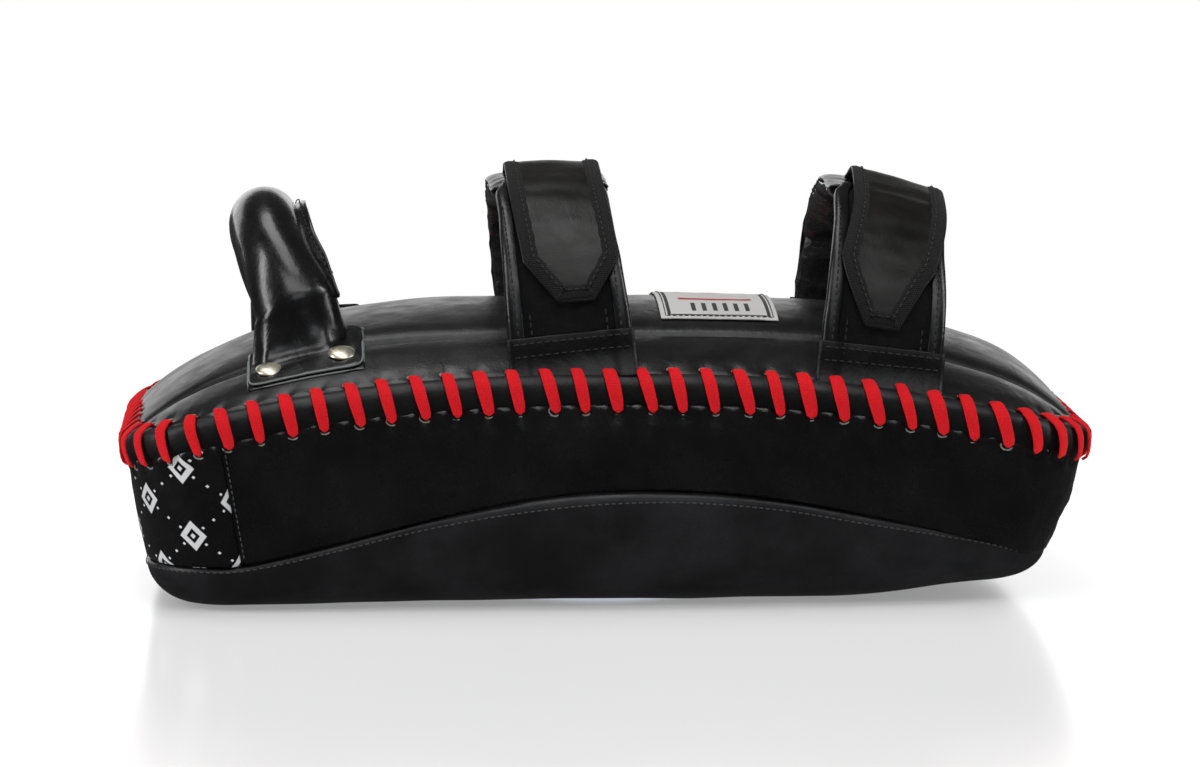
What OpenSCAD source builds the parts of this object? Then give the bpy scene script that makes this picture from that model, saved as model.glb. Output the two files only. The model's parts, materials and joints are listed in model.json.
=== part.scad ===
// Curved thai pad, the kick pad a trainer wears on the forearm. It lies on its strike face.
// Millimetres. +X runs along the pad from the handle end to the plain end, -Y is the near long
// side and +Z points out of the back. The origin is under the middle, on the strike face.

/* [Pad] */
// Length along the forearm
pad_length = 390; // [350:5:430]
// Width across the forearm
pad_width = 190; // [180:2:200]
// Height of the crowned back at mid length
crown_height = 118; // [112:1:122]
// Height of the back's rim at the middle of the long sides
rim_height = 95; // [90:1:98]
// Height of the back's rim at both ends
end_height = 70; // [66:1:76]
// Plan radius of the four corners
corner_radius = 42; // [40:1:46]
// Thickness of the cover leather
leather = 2; // [1.6:0.1:2.2]

/* [Seams] */
// Height of the strike face's seam at the middle of the long sides
seam_height = 49; // [44:1:54]
// Height of that seam at the ends
seam_end_height = 18; // [16:1:22]
// Distance of the back's two long seams from the middle line
groove_y = 57.5; // [52:0.5:60]
// Distance along X from the middle to the seam beside the printed end panel
print_seam_x = 152; // [145:1:152]

/* [Lacing] */
// Number of stitches round the rim
stitches = 84; // [60:2:90]
// Width of the flat lace
lace_width = 5; // [3:0.5:6]
// Height of a stitch on the side of the pad
lace_drop = 15; // [12:1:16]

/* [Handle] */
// Radius of the padded grip
grip_radius = 14; // [11:0.5:15]
// Radius of the grip's arch, at the middle of the grip
arch_radius = 51; // [49:1:53]
// Distance along X from the middle to the handle
handle_x = 122; // [118:1:126]
// Lean of the handle towards its end of the pad, in degrees
handle_lean = 22; // [16:1:24]

/* [Straps] */
// Width of the loop webbing
webbing_width = 48; // [40:1:50]
// Width of the padded cuff
cuff_width = 50; // [44:1:52]
// Width of the closure tab
tab_width = 37; // [30:1:40]
// Height of a strap's loop above its hinge line
loop_height = 65.6; // [60:0.2:68]
// Place of the wrist strap along X
wrist_x = -16; // [-24:1:-10]
// Place of the forearm strap along X
forearm_x = 110; // [100:1:114]
// Tilt of the wrist strap, in degrees
wrist_tilt = -6; // [-8:1:2]
// Tilt of the forearm strap, in degrees
forearm_tilt = 6; // [4:1:12]
// How far the forearm strap's ends are shifted along X, the far one towards the plain end
forearm_skew = 2; // [0:0.5:3]

/* [Hidden] */

$fn = 48;
gap = 0.3;
half_l = pad_length / 2;
half_w = pad_width / 2;

// ---- Shape of the padded body ----

// Lengths of the rim's runs: half an end, a corner and a long side
end_run = half_w - corner_radius;
corner_run = corner_radius * PI / 2;
side_run = 2 * (half_l - corner_radius);
half_run = 2 * end_run + 2 * corner_run + side_run;

// How far the face leather's rolled edge comes in, mid length and at the ends
roll_mid = 38;
roll_end = 20;
// How far the seam sits inside the rim: mid length, handle end and plain end
seam_inset_mid = 1.5;
seam_inset_handle = 11;
seam_inset_plain = 16;
flap_thickness = 1.2;
foam_inset = leather + flap_thickness + 3 * gap;

// 1 at the middle of the length, 0 at the ends
function bow(x, power) = 1 - pow(min(1, abs(x) / half_l), power);
function rim_z(x) = end_height + (rim_height - end_height) * bow(x, 2.4);
function crown_z(x) = end_height + (crown_height - end_height) * bow(x, 4);

// Half the plan width at x, round corners included
function half_width(x) =
    let (over = abs(x) - half_l + corner_radius)
    over <= 0 ? half_w : end_run + sqrt(max(0, pow(corner_radius, 2) - pow(over, 2)));

// Height of the crowned back
function back_z(x, y) =
    rim_z(x) + (crown_z(x) - rim_z(x)) * (1 - pow(min(1, abs(y) / half_width(x)), 2));

// 0 at the middle of the long sides, 1 at the ends
function endness(x) = 1 - pow(max(0, 1 - pow((x - 15) / 170, 2)), 1.5);
function mix(a, b, t) = a + (b - a) * t;
function seam_z(x) = mix(seam_height, seam_end_height, endness(x));
function seam_inset(x) =
    mix(seam_inset_mid, x > 0 ? seam_inset_plain : seam_inset_handle, endness(x));
function roll(x) = mix(roll_mid, roll_end, endness(x));

// Inset of the side wall at height z, between the seam and the rim
function side_inset(x, z) =
    let (up = max(0, min(1, (z - seam_z(x)) / (rim_z(x) - seam_z(x)))))
    seam_inset(x) * pow(1 - up, 1.4);

// A quarter of the rim from the middle of an end, as [x, y, normal x, normal y]
function rim_quarter(t) =
    t <= end_run ? [half_l, t, 1, 0] :
    t >= end_run + corner_run ?
        [half_l - corner_radius - (t - end_run - corner_run), half_w, 0, 1] :
    let (a = (t - end_run) / corner_radius * 180 / PI)
    [half_l - corner_radius + corner_radius * cos(a), end_run + corner_radius * sin(a),
     cos(a), sin(a)];

// The rim at a distance s from the middle of the plain end, going by the near side first
function rim(s) =
    let (far = s > half_run, t = far ? 2 * half_run - s : s)
    let (left = t > half_run / 2, q = rim_quarter(left ? half_run - t : t))
    let (sx = left ? -1 : 1, sy = far ? 1 : -1)
    [sx * q[0], sy * q[1], sx * q[2], sy * q[3]];

// A point on the pad's side: distance s along the rim, moved in by inset, at height z
function at_rim(s, inset, z) =
    let (r = rim(s)) [r[0] - inset * r[2], r[1] - inset * r[3], z];

// Stops along half the rim, closer together round the corners and none along the ends
corner_steps = 6;
side_steps = 14;
half_stops = concat(
    [for (k = [0 : corner_steps]) end_run + corner_run * k / corner_steps],
    [for (k = [1 : side_steps - 1]) end_run + corner_run + side_run * k / side_steps],
    [for (k = [corner_steps : -1 : 0]) half_run - end_run - corner_run * k / corner_steps]
);
ring_stops = concat(half_stops,
    [for (k = [len(half_stops) - 1 : -1 : 0]) 2 * half_run - half_stops[k]]);
// The same stops between two distances, with both ends
function stops_between(a, b) =
    concat([a], [for (s = ring_stops) if (s > a + 3 && s < b - 3) s], [b]);

// ---- Solids from loops of points ----

function reverse(list) = [for (k = [len(list) - 1 : -1 : 0]) list[k]];
function ring_faces(a, b, m) = [for (k = [0 : m - 1]) let (n = (k + 1) % m)
    [a + k, b + k, b + n, a + n]];
function cap_faces(a, m, front) = [for (k = [0 : m / 2 - 2])
    front ? [a + k, a + k + 1, a + m - 2 - k, a + m - 1 - k]
          : [a + m - 1 - k, a + m - 2 - k, a + k + 1, a + k]];
function loft_faces(count, m, first = 0) = concat(
    [for (j = [0 : count - 2]) each ring_faces(first + j * m, first + (j + 1) * m, m)],
    cap_faces(first, m, true), cap_faces(first + (count - 1) * m, m, false));

// A solid through loops of equally many points. Point k faces point m - 1 - k across each
// loop, and the two end loops are closed by strips between such pairs. Seen from the first
// loop towards the last one, the points run clockwise.
module loft(loops) {
    polyhedron([for (loop = loops) each loop], loft_faces(len(loops), len(loops[0])));
}

// The same without ends, for a band that closes on itself
module closed_loft(loops) {
    m = len(loops[0]);
    count = len(loops);
    polyhedron([for (loop = loops) each loop],
        [for (j = [0 : count - 1]) each ring_faces(j * m, ((j + 1) % count) * m, m)]);
}

// A thin skin from rows of points on one face and the matching rows on the other
module skin(face, other) {
    loft([for (i = [0 : len(face) - 1]) concat(face[i], reverse(other[i]))]);
}

// ---- Foam and cover of the body ----

// Ring of the face leather's rolled edge at angle t, from 0 at the seam to 90 on the face,
// moved inwards by depth
function roll_ring(t, depth) = [for (s = ring_stops)
    let (x = rim(s)[0])
    at_rim(s, seam_inset(x) + roll(x) * (1 - cos(t)) + depth * cos(t),
        (seam_z(x) - gap / 2) * (1 - sin(t)) + depth * sin(t))];

// Ring of the side's foam at a fraction up between the seam and the foot of the crown
function foam_ring(up, lift) = [for (s = ring_stops)
    let (x = rim(s)[0], z = mix(seam_z(x), rim_z(x) - 22, up) + lift)
    at_rim(s, side_inset(x, z) + foam_inset, z)];

// Ring on the underside of the back, drawn in towards the middle line
function crown_ring(in) = [for (s = ring_stops)
    let (p = at_rim(s, foam_inset, 0), x = p[0] * mix(1, 0.9, in), y = p[1] * (1 - in))
    [x, y, back_z(x, y) - leather - gap]];

module foam_strike_layer() color("dimgray")
    loft([for (t = [0 : 18 : 90]) roll_ring(t, leather + gap)]);

module foam_core_layer() color("gray")
    loft([for (up = [1 : -0.5 : 0]) foam_ring(up, gap)]);

module foam_back_crown() color("darkgray")
    loft(concat([for (in = [0.75 : -0.25 : 0]) crown_ring(in)], [foam_ring(1, 2 * gap)]));

module strike_face_cover() color([0.07, 0.07, 0.08])
    loft(concat([for (t = [90 : -15 : 0]) roll_ring(t, leather)],
                [for (t = [0 : 15 : 90]) roll_ring(t, 0)]));

// The side's leather between two distances along the rim
panel_levels = 5;
module side_panel(from, to) {
    rows = [for (depth = [0, leather]) [for (s = stops_between(from, to)) [
        for (j = [0 : panel_levels])
            let (x = rim(s)[0], z = mix(seam_z(x) + gap / 2, rim_z(x) - 10, j / panel_levels))
            at_rim(s, side_inset(x, z) + depth, z)]]];
    skin(rows[0], rows[1]);
}
print_seam_s = end_run + corner_run + half_l - corner_radius + print_seam_x;

module side_panel_near() color([0.05, 0.05, 0.06]) side_panel(gap, print_seam_s - gap);
module side_panel_far() color([0.05, 0.05, 0.06])
    side_panel(2 * half_run - print_seam_s + gap, 2 * half_run - gap);
module end_panel_printed() color([0.08, 0.08, 0.08])
    side_panel(print_seam_s, 2 * half_run - print_seam_s);

// The black strip that shows between the laced edges
module lacing_flap() color([0.03, 0.03, 0.03])
    closed_loft([for (s = ring_stops)
        let (x = rim(s)[0], low = rim_z(x) - 18, high = rim_z(x) - 3,
             in_low = side_inset(x, low) + leather + gap,
             in_high = side_inset(x, high) + leather + gap)
        [at_rim(s, in_low, low), at_rim(s, in_high, high),
         at_rim(s, in_high + flap_thickness, high), at_rim(s, in_low + flap_thickness, low)]]);

// A sheet of even thickness that follows the back, from rows of plan points that run from
// +X to -X when each row runs to -Y
module back_sheet(rows, bottom, top) {
    skin([for (row = rows) [for (p = row) [p[0], p[1], back_z(p[0], p[1]) + bottom]]],
         [for (row = rows) [for (p = row) [p[0], p[1], back_z(p[0], p[1]) + top]]]);
}
// Rows of plan points that fill a rectangle
function plan_grid(x0, x1, y0, y1, nx, ny) = [for (i = [0 : nx]) [
    for (j = [0 : ny]) [mix(x0, x1, i / nx), mix(y0, y1, j / ny)]]];

groove_half = 0.8;
module back_centre_panel() color([0.09, 0.09, 0.1])
    back_sheet(plan_grid(-half_l + gap, half_l - gap,
        -groove_y + groove_half, groove_y - groove_half, 26, 10), -leather, 0);

border_stations = 30;
border_start = end_run + 8;
module back_border() {
    inner_x = half_l - 5;
    inner_y = -groove_y - groove_half;
    rows = [for (i = [border_stations : -1 : 0])
        let (t = i / border_stations, r = rim(mix(border_start, half_run - border_start, t)))
        [for (v = [0 : 1 / 3 : 1.01])
            [mix(r[0], mix(inner_x, -inner_x, t), v), mix(r[1], inner_y, v)]]];
    back_sheet(rows, -leather, 0);
}
module back_border_near() color([0.09, 0.09, 0.1]) back_border();
module back_border_far() color([0.09, 0.09, 0.1]) mirror([0, 1, 0]) back_border();

// ---- Lacing ----

lace_half = 0.5;
lace_slant = 4;
// Centre line of a stitch: distance outside the rim, height over the back or the rim, and
// how much of the slant it has done
stitch_path = [[-5, 0.9, 0], [-0.8, 1.3, 0.2], [1.6, -0.6, 0.35],
               [1.4, -0.45 * lace_drop, 0.65], [1, -lace_drop, 1]];

function stitch_point(s, p, side, lift) =
    let (sp = s - p[2] * lace_slant, r = rim(sp), out = p[0] + lift[0])
    let (x = r[0] + out * r[2] - side * r[3], y = r[1] + out * r[3] + side * r[2])
    let (over = p[0] < 0, base = over ? back_z(r[0] + p[0] * r[2], r[1] + p[0] * r[3]) : rim_z(r[0]))
    [x, y, base + p[1] + lift[1]];
// Directions of the lace's outer face at each point of the path
stitch_lift = [[0, 1], [0.4, 0.9], [0.8, 0.6], [1, 0], [1, 0]];
function stitch_loops(s) = [for (k = [0 : len(stitch_path) - 1])
    let (w = lace_width / 2, up = lace_half * stitch_lift[k])
    [stitch_point(s, stitch_path[k], w, up), stitch_point(s, stitch_path[k], -w, up),
     stitch_point(s, stitch_path[k], -w, -up), stitch_point(s, stitch_path[k], w, -up)]];
stitch_points = 4 * len(stitch_path);

module edge_lace() color([0.8, 0.05, 0.08])
    polyhedron(
        [for (i = [0 : stitches - 1]) each
            [for (loop = stitch_loops((i + 0.5) * 2 * half_run / stitches)) each loop]],
        [for (i = [0 : stitches - 1]) each
            loft_faces(len(stitch_path), 4, i * stitch_points)]);

// ---- Label on the crown ----

label_x = 46.5;
label_width = 48;
label_length = 90;
module woven_label() color([0.9, 0.9, 0.9])
    back_sheet(plan_grid(label_x - label_width / 2, label_x + label_width / 2,
        -label_length / 2, label_length / 2, 4, 8), gap, gap + 0.8);

// ---- Handle ----

handle_pivot_z = rim_height + 15.6;
arch_drop = 5;
root_radius = 4.6;
base_length = 45.5;
base_thickness = 2;
base_in_y = 44;
base_out_y = 80;
rivet_y = 70;
rivet_pitch = 29;
rivet_radius = 5.75;
shank_radius = 2;

// The leather tab under one foot of the grip, with the roll that the foot turns on
module handle_base() {
    back_sheet(plan_grid(-handle_x - base_length / 2, -handle_x + base_length / 2,
        -base_out_y, -base_in_y, 4, 4), gap, gap + base_thickness);
    translate([-handle_x, -base_in_y - 1, handle_pivot_z]) rotate([90, 0, 0])
        cylinder(r = root_radius, h = 15);
}
module handle_base_near() color([0.06, 0.06, 0.06]) handle_base();
module handle_base_far() color([0.06, 0.06, 0.06]) mirror([0, 1, 0]) handle_base();

// Places its children at each rivet, square to the back
module at_rivets() {
    for (side = [-1, 1], x = [-handle_x - rivet_pitch / 2, -handle_x + rivet_pitch / 2]) {
        slope = atan((back_z(x, rivet_y - 1) - back_z(x, rivet_y + 1)) / 2);
        translate([x, side * rivet_y, back_z(x, rivet_y)]) rotate([-side * slope, 0, 0])
            children();
    }
}
module handle_rivets() color("silver") at_rivets() {
    translate([0, 0, -6]) cylinder(r = shank_radius, h = 9);
    translate([0, 0, gap + base_thickness + 0.4]) intersection() {
        cylinder(r = rivet_radius, h = 3);
        translate([0, 0, -5]) sphere(r = 8);
    }
}
module rivet_washers() color("gray") at_rivets()
    translate([0, 0, -6.2]) difference() {
        cylinder(r = 6, h = 1);
        translate([0, 0, -1]) cylinder(r = shank_radius + 0.1, h = 3);
    }

// Stands its children's ring upright on the handle's pivot, leaning as the handle does,
// and clears the feet so that they turn over the back
module on_handle() {
    reach = 80;
    wedge = 42;
    translate([-handle_x, 0, handle_pivot_z]) rotate([0, -handle_lean, 0]) difference() {
        translate([0, 0, -arch_drop]) rotate([90, 0, 90]) children();
        translate([0, reach, 0]) rotate([90, 0, 0]) cylinder(r = root_radius + 0.4, h = 2 * reach);
        for (a = [wedge, 180 - wedge]) rotate([0, -a, 0])
            translate([-reach, -reach, a < 90 ? -reach : 0]) cube([2 * reach, 2 * reach, reach]);
    }
}
// A ring sector of the arch from a flat section drawn at the grip's middle
module arch(from) {
    rotate([0, 0, from]) rotate_extrude(angle = 180 - 2 * from) translate([arch_radius, 0])
        children();
}
core_radius = grip_radius - 4.5;
module handle_cover() color([0.05, 0.05, 0.05]) on_handle() arch(6) difference() {
    circle(r = grip_radius);
    circle(r = core_radius + gap);
}
module handle_core() color("gray") on_handle() arch(16) circle(r = core_radius);
module handle_flange() color([0.05, 0.05, 0.05]) on_handle() arch(40)
    translate([-1.5, grip_radius + 0.1]) square([3, 9]);

// ---- Straps ----
// A strap is drawn in its own frame: X across the strap, Y across the pad, Z up from the
// line of its two hinges.

hinge_y = half_w - 9;
loop_power = 2.2;
hinge_lift = 10.4;
cuff_half = 4;
tab_angle = 110;
wrist_tip_angle = 165.5;
forearm_tip_angle = 171;
webbing_end_angle = 113;

// A point of the loop's middle surface, at an angle from the far hinge, moved out by d
function loop_point(a, d) =
    let (c = cos(a), s = sin(a), e = 2 / loop_power)
    let (y = hinge_y * sign(c) * pow(abs(c), e), z = loop_height * pow(max(0, s), e))
    let (gy = sign(y) * pow(abs(y) / hinge_y, loop_power - 1) / hinge_y,
         gz = pow(z / loop_height, loop_power - 1) / loop_height)
    [y, z] + d * [gy, gz] / norm([gy, gz]);

// Flat outline of a layer between two angles and two offsets
module layer_outline(from, to, low, high) {
    steps = max(4, ceil(abs(to - from) / 5));
    angles = [for (k = [0 : steps]) mix(from, to, k / steps)];
    polygon(concat([for (a = angles) loop_point(a, high)],
                   [for (a = reverse(angles)) loop_point(a, low)]));
}
// Draws a YZ outline across the strap
module across(width) rotate([90, 0, 90]) linear_extrude(width, center = true) children();

// The tab turns on a thin roll just over the cuff's outer face
tab_hinge = loop_point(tab_angle, cuff_half + 1.5);
tab_root_radius = 1.2;

module webbing_layer(low, high) layer_outline(180, webbing_end_angle, low, high);
module cuff_layer(low, high) layer_outline(0, tab_angle, low, high);
// The tab's plan: straight sides and a cut-off point, seen along Y. It ends at the loop's
// angle tip_angle.
tab_point = 7.5;
tab_shoulder = 20;
// The tab sits a little towards the plain end on its webbing
tab_shift = 2;
function tab_plan(inset, tip_angle) =
    let (w = tab_width / 2 - inset, top = loop_height + 20,
         tip = loop_point(tip_angle, 0)[1] + inset)
    [[-w, top], [-w, tip + tab_shoulder], [-tab_point, tip],
     [tab_point, tip], [w, tip + tab_shoulder], [w, top]];
module in_tab_plan(inset, tip_angle) translate([tab_shift, 0, 0]) intersection() {
    children();
    rotate([90, 0, 0]) linear_extrude(2 * half_w, center = true)
        polygon(tab_plan(inset, tip_angle));
}
module tab_layer(low, high, tip_angle, start = 0.5)
    layer_outline(tab_angle + start, tip_angle + 2, low, high);

// Puts a strap's frame on the pad. skew shifts its far end along X, and its near end back.
module on_pad(x, tilt, skew = 0) translate([x, 0, rim_z(x) + hinge_lift]) rotate([0, tilt, 0])
    multmatrix([[1, skew / hinge_y, 0, 0], [0, 1, 0, 0], [0, 0, 1, 0]]) children();

module strap_base(x) back_sheet(plan_grid(x - 25.5, x + 25.5, -half_w + 7, -half_w + 21, 4, 2),
    gap, gap + 1.4);
module backing() across(webbing_width - 2) webbing_layer(-1.9, -0.4);
module webbing() across(webbing_width) webbing_layer(-0.1, 1.6);
module binding() for (side = [-1, 1]) translate([side * (webbing_width / 2 - 1.9), 0, 0])
    across(3.6) layer_outline(176, webbing_end_angle, 1.7, 2.5);
module cuff_outer() across(cuff_width) cuff_layer(cuff_half - 1.5, cuff_half);
module cuff_padding() across(cuff_width - 3) cuff_layer(1.6 - cuff_half, cuff_half - 1.7);
module cuff_lining() across(cuff_width) cuff_layer(-cuff_half, 1.4 - cuff_half);
module tab_face(tip_angle) {
    in_tab_plan(0, tip_angle) across(tab_width) tab_layer(3.2, 5, tip_angle);
    translate([tab_shift, 0, 0]) across(tab_width) translate(tab_hinge)
        circle(r = tab_root_radius);
}
module tab_hook(tip_angle) in_tab_plan(5, tip_angle) across(tab_width)
    tab_layer(2, 3.1, tip_angle, 12);
module tab_binding(tip_angle) difference() {
    in_tab_plan(0, tip_angle) across(tab_width) tab_layer(5.1, 5.8, tip_angle, 3.5);
    translate([tab_shift, 0, 0]) rotate([90, 0, 0]) linear_extrude(2 * half_w, center = true)
        polygon(tab_plan(6, tip_angle));
}

module wrist() on_pad(wrist_x, wrist_tilt) children();
module wrist_base_near() color([0.06, 0.06, 0.06]) strap_base(wrist_x);
module wrist_base_far() color([0.06, 0.06, 0.06]) mirror([0, 1, 0]) strap_base(wrist_x);
module wrist_backing() color([0.07, 0.07, 0.07]) wrist() backing();
module wrist_webbing() color([0.03, 0.03, 0.03]) wrist() webbing();
module wrist_binding() color([0.1, 0.1, 0.1]) wrist() binding();
module wrist_cuff_outer() color([0.06, 0.06, 0.07]) wrist() cuff_outer();
module wrist_cuff_padding() color("gray") wrist() cuff_padding();
module wrist_cuff_lining() color([0.08, 0.08, 0.09]) wrist() cuff_lining();
module wrist_tab_face() color([0.05, 0.05, 0.05]) wrist() tab_face(wrist_tip_angle);
module wrist_tab_hook() color([0.12, 0.12, 0.12]) wrist() tab_hook(wrist_tip_angle);
module wrist_tab_binding() color([0.02, 0.02, 0.02]) wrist() tab_binding(wrist_tip_angle);

module forearm() on_pad(forearm_x, forearm_tilt, forearm_skew) children();
module forearm_base_near() color([0.06, 0.06, 0.06]) strap_base(forearm_x - forearm_skew);
module forearm_base_far() color([0.06, 0.06, 0.06])
    mirror([0, 1, 0]) strap_base(forearm_x + forearm_skew);
module forearm_backing() color([0.07, 0.07, 0.07]) forearm() backing();
module forearm_webbing() color([0.03, 0.03, 0.03]) forearm() webbing();
module forearm_binding() color([0.1, 0.1, 0.1]) forearm() binding();
module forearm_cuff_outer() color([0.06, 0.06, 0.07]) forearm() cuff_outer();
module forearm_cuff_padding() color("gray") forearm() cuff_padding();
module forearm_cuff_lining() color([0.08, 0.08, 0.09]) forearm() cuff_lining();
module forearm_tab_face() color([0.05, 0.05, 0.05]) forearm() tab_face(forearm_tip_angle);
module forearm_tab_hook() color([0.12, 0.12, 0.12]) forearm() tab_hook(forearm_tip_angle);
module forearm_tab_binding() color([0.02, 0.02, 0.02]) forearm() tab_binding(forearm_tip_angle);

foam_strike_layer();
foam_core_layer();
foam_back_crown();
strike_face_cover();
side_panel_near();
side_panel_far();
end_panel_printed();
back_centre_panel();
back_border_near();
back_border_far();
lacing_flap();
edge_lace();
woven_label();
handle_base_near();
handle_base_far();
handle_rivets();
rivet_washers();
handle_cover();
handle_core();
handle_flange();
wrist_base_near();
wrist_base_far();
wrist_backing();
wrist_webbing();
wrist_binding();
wrist_cuff_outer();
wrist_cuff_padding();
wrist_cuff_lining();
wrist_tab_face();
wrist_tab_hook();
wrist_tab_binding();
forearm_base_near();
forearm_base_far();
forearm_backing();
forearm_webbing();
forearm_binding();
forearm_cuff_outer();
forearm_cuff_padding();
forearm_cuff_lining();
forearm_tab_face();
forearm_tab_hook();
forearm_tab_binding();
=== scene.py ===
"""The look of the curved thai pad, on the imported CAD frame. Lengths are millimetres until a
mesh is made. +X runs from the handle end to the plain end, -Y is the near long side."""
import json
import math
import random

import bmesh
import bpy
from mathutils import Matrix, Vector, noise

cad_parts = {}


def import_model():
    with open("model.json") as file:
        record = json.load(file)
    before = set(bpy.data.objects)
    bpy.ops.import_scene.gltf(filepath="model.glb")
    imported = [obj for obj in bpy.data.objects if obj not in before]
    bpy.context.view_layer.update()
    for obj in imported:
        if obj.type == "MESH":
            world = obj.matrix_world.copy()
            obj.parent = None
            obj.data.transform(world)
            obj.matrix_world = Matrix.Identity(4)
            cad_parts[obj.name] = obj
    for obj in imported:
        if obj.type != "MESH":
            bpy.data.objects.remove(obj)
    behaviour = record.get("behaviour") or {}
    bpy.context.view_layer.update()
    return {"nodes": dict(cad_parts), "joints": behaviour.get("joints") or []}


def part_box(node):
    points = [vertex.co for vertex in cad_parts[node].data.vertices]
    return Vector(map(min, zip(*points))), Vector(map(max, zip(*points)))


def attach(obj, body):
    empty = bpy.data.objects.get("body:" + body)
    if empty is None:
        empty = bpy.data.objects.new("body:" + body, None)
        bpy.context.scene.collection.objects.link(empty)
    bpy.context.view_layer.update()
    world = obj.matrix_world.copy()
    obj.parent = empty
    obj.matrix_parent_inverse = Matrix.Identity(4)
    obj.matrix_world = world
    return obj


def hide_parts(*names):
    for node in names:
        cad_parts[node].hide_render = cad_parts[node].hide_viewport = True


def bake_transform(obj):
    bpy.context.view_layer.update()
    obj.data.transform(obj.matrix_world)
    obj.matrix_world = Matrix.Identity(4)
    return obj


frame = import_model()
MM = 0.001
rng = random.Random(11)

# ---- Sizes, as in the CAD part ----


def cad(node):
    """Lowest and highest corner of a CAD node in millimetres."""
    low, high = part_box(node)
    return low / MM, high / MM


GAP = 0.3
HALF_L = cad("back_centre_panel")[1].x + GAP
HALF_W = -cad("back_border_near")[0].y
CORNER = 42.0
END_RUN = HALF_W - CORNER
CORNER_RUN = CORNER * math.pi / 2
SIDE_RUN = 2 * (HALF_L - CORNER)
HALF_RUN = 2 * END_RUN + 2 * CORNER_RUN + SIDE_RUN
END_Z, RIM_Z, CROWN_Z = 70.0, 95.0, 118.0
SEAM_Z, SEAM_END_Z = 49.0, 18.0
GROOVE_Y, GROOVE_HALF = 57.5, 0.8
LEATHER = 2.0
STITCHES = 84
PITCH = 2 * HALF_RUN / STITCHES
LACE_SLANT = 4.0
LACE_START = 0.15
JOINTS = {j["name"]: j for j in frame["joints"]}


def mix(a, b, t):
    """a at t = 0 and b at t = 1."""
    return a + (b - a) * t


def clamp(v, low=0.0, high=1.0):
    return max(low, min(high, v))


def ease(a, b, v):
    """0 before a, 1 after b and smooth between them."""
    t = clamp((v - a) / (b - a))
    return t * t * (3 - 2 * t)


def hump(v, centre, width):
    """A bell curve, 1 at its centre."""
    return math.exp(-(((v - centre) / width) ** 2))


def steps(a, b, count):
    """count + 1 numbers from a to b."""
    return [mix(a, b, k / count) for k in range(count + 1)]


def bow(x, power):
    """1 over the pad's middle, 0 at its ends."""
    return 1 - min(1.0, abs(x) / HALF_L) ** power


def rim_z(x):
    """Height of the laced rim."""
    return END_Z + (RIM_Z - END_Z) * bow(x, 2.4)


def crown_z(x):
    """Height of the back along the middle of the pad."""
    return END_Z + (CROWN_Z - END_Z) * bow(x, 4)


def half_width(x):
    """Half the pad's width, less in its rounded corners."""
    over = abs(x) - HALF_L + CORNER
    return HALF_W if over <= 0 else END_RUN + math.sqrt(max(0.0, CORNER**2 - over**2))


def back_z(x, y):
    """Height of the back."""
    across = 1 - min(1.0, abs(y) / half_width(x)) ** 2
    return rim_z(x) + (crown_z(x) - rim_z(x)) * across


def endness(x):
    """0 over the pad's middle, 1 at its ends."""
    return 1 - max(0.0, 1 - ((x - 15) / 170) ** 2) ** 1.5


def seam_z(x):
    """Height of the seam between the side and the strike face."""
    return mix(SEAM_Z, SEAM_END_Z, endness(x))


def seam_inset(x):
    """How far in from the rim that seam lies."""
    return mix(1.5, 16 if x > 0 else 8, endness(x))


def roll(x):
    """How far the strike face's rolled edge reaches in."""
    return mix(38, 20, endness(x))


def side_inset(x, z):
    """How far in from the rim the side lies at a height."""
    up = clamp((z - seam_z(x)) / (rim_z(x) - seam_z(x)))
    return seam_inset(x) * (1 - up) ** 1.4


def rim_quarter(t):
    """The rim over one quarter of the pad, from the middle of its end."""
    if t <= END_RUN:
        return HALF_L, t, 1.0, 0.0
    if t >= END_RUN + CORNER_RUN:
        return HALF_L - CORNER - (t - END_RUN - CORNER_RUN), HALF_W, 0.0, 1.0
    a = (t - END_RUN) / CORNER
    c, s = math.cos(a), math.sin(a)
    return HALF_L - CORNER + CORNER * c, END_RUN + CORNER * s, c, s


def rim(s):
    """x, y and the outward normal of the rim at a distance s from the middle of the plain
    end, going by the near side first."""
    s = s % (2 * HALF_RUN)
    far = s > HALF_RUN
    t = 2 * HALF_RUN - s if far else s
    left = t > HALF_RUN / 2
    x, y, nx, ny = rim_quarter(HALF_RUN - t if left else t)
    sx, sy = -1 if left else 1, 1 if far else -1
    return sx * x, sy * y, sx * nx, sy * ny


def at_rim(s, inset, z):
    """A point in from the rim, at a height."""
    x, y, nx, ny = rim(s)
    return Vector((x - inset * nx, y - inset * ny, z))


def soft(p, size, amount, seed=0.0):
    """Smooth noise of about that wavelength, from -amount to amount."""
    return amount * noise.noise(Vector(p) / size + Vector((seed, 0.7 * seed, -seed)))


# ---- Meshes ----


def surface_normals(rows, away, ring):
    """Unit normals of a grid of points, pointing away from a point inside."""
    count, m, found, total = len(rows), len(rows[0]), [], 0.0
    for i, row in enumerate(rows):
        before = rows[(i - 1) % count] if ring else rows[max(i - 1, 0)]
        after = rows[(i + 1) % count] if ring else rows[min(i + 1, count - 1)]
        line = []
        for j, p in enumerate(row):
            n = (after[j] - before[j]).cross(row[min(j + 1, m - 1)] - row[max(j - 1, 0)])
            n.normalize()
            total += n.dot(p - away)
            line.append(n)
        found.append(line)
    if total < 0:
        found = [[-n for n in line] for line in found]
    return found


def lengths(points):
    """Distance covered at each of a list of points."""
    covered = [0.0]
    for a, b in zip(points, points[1:]):
        covered.append(covered[-1] + (b - a).length)
    return covered


def turn(count):
    """Angles of a full turn."""
    return [math.tau * k / count for k in range(count)]


def oval(centre, u, v, count):
    """Points round a centre, with half axes u and v."""
    return [centre + u * math.cos(q) + v * math.sin(q) for q in turn(count)]


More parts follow.
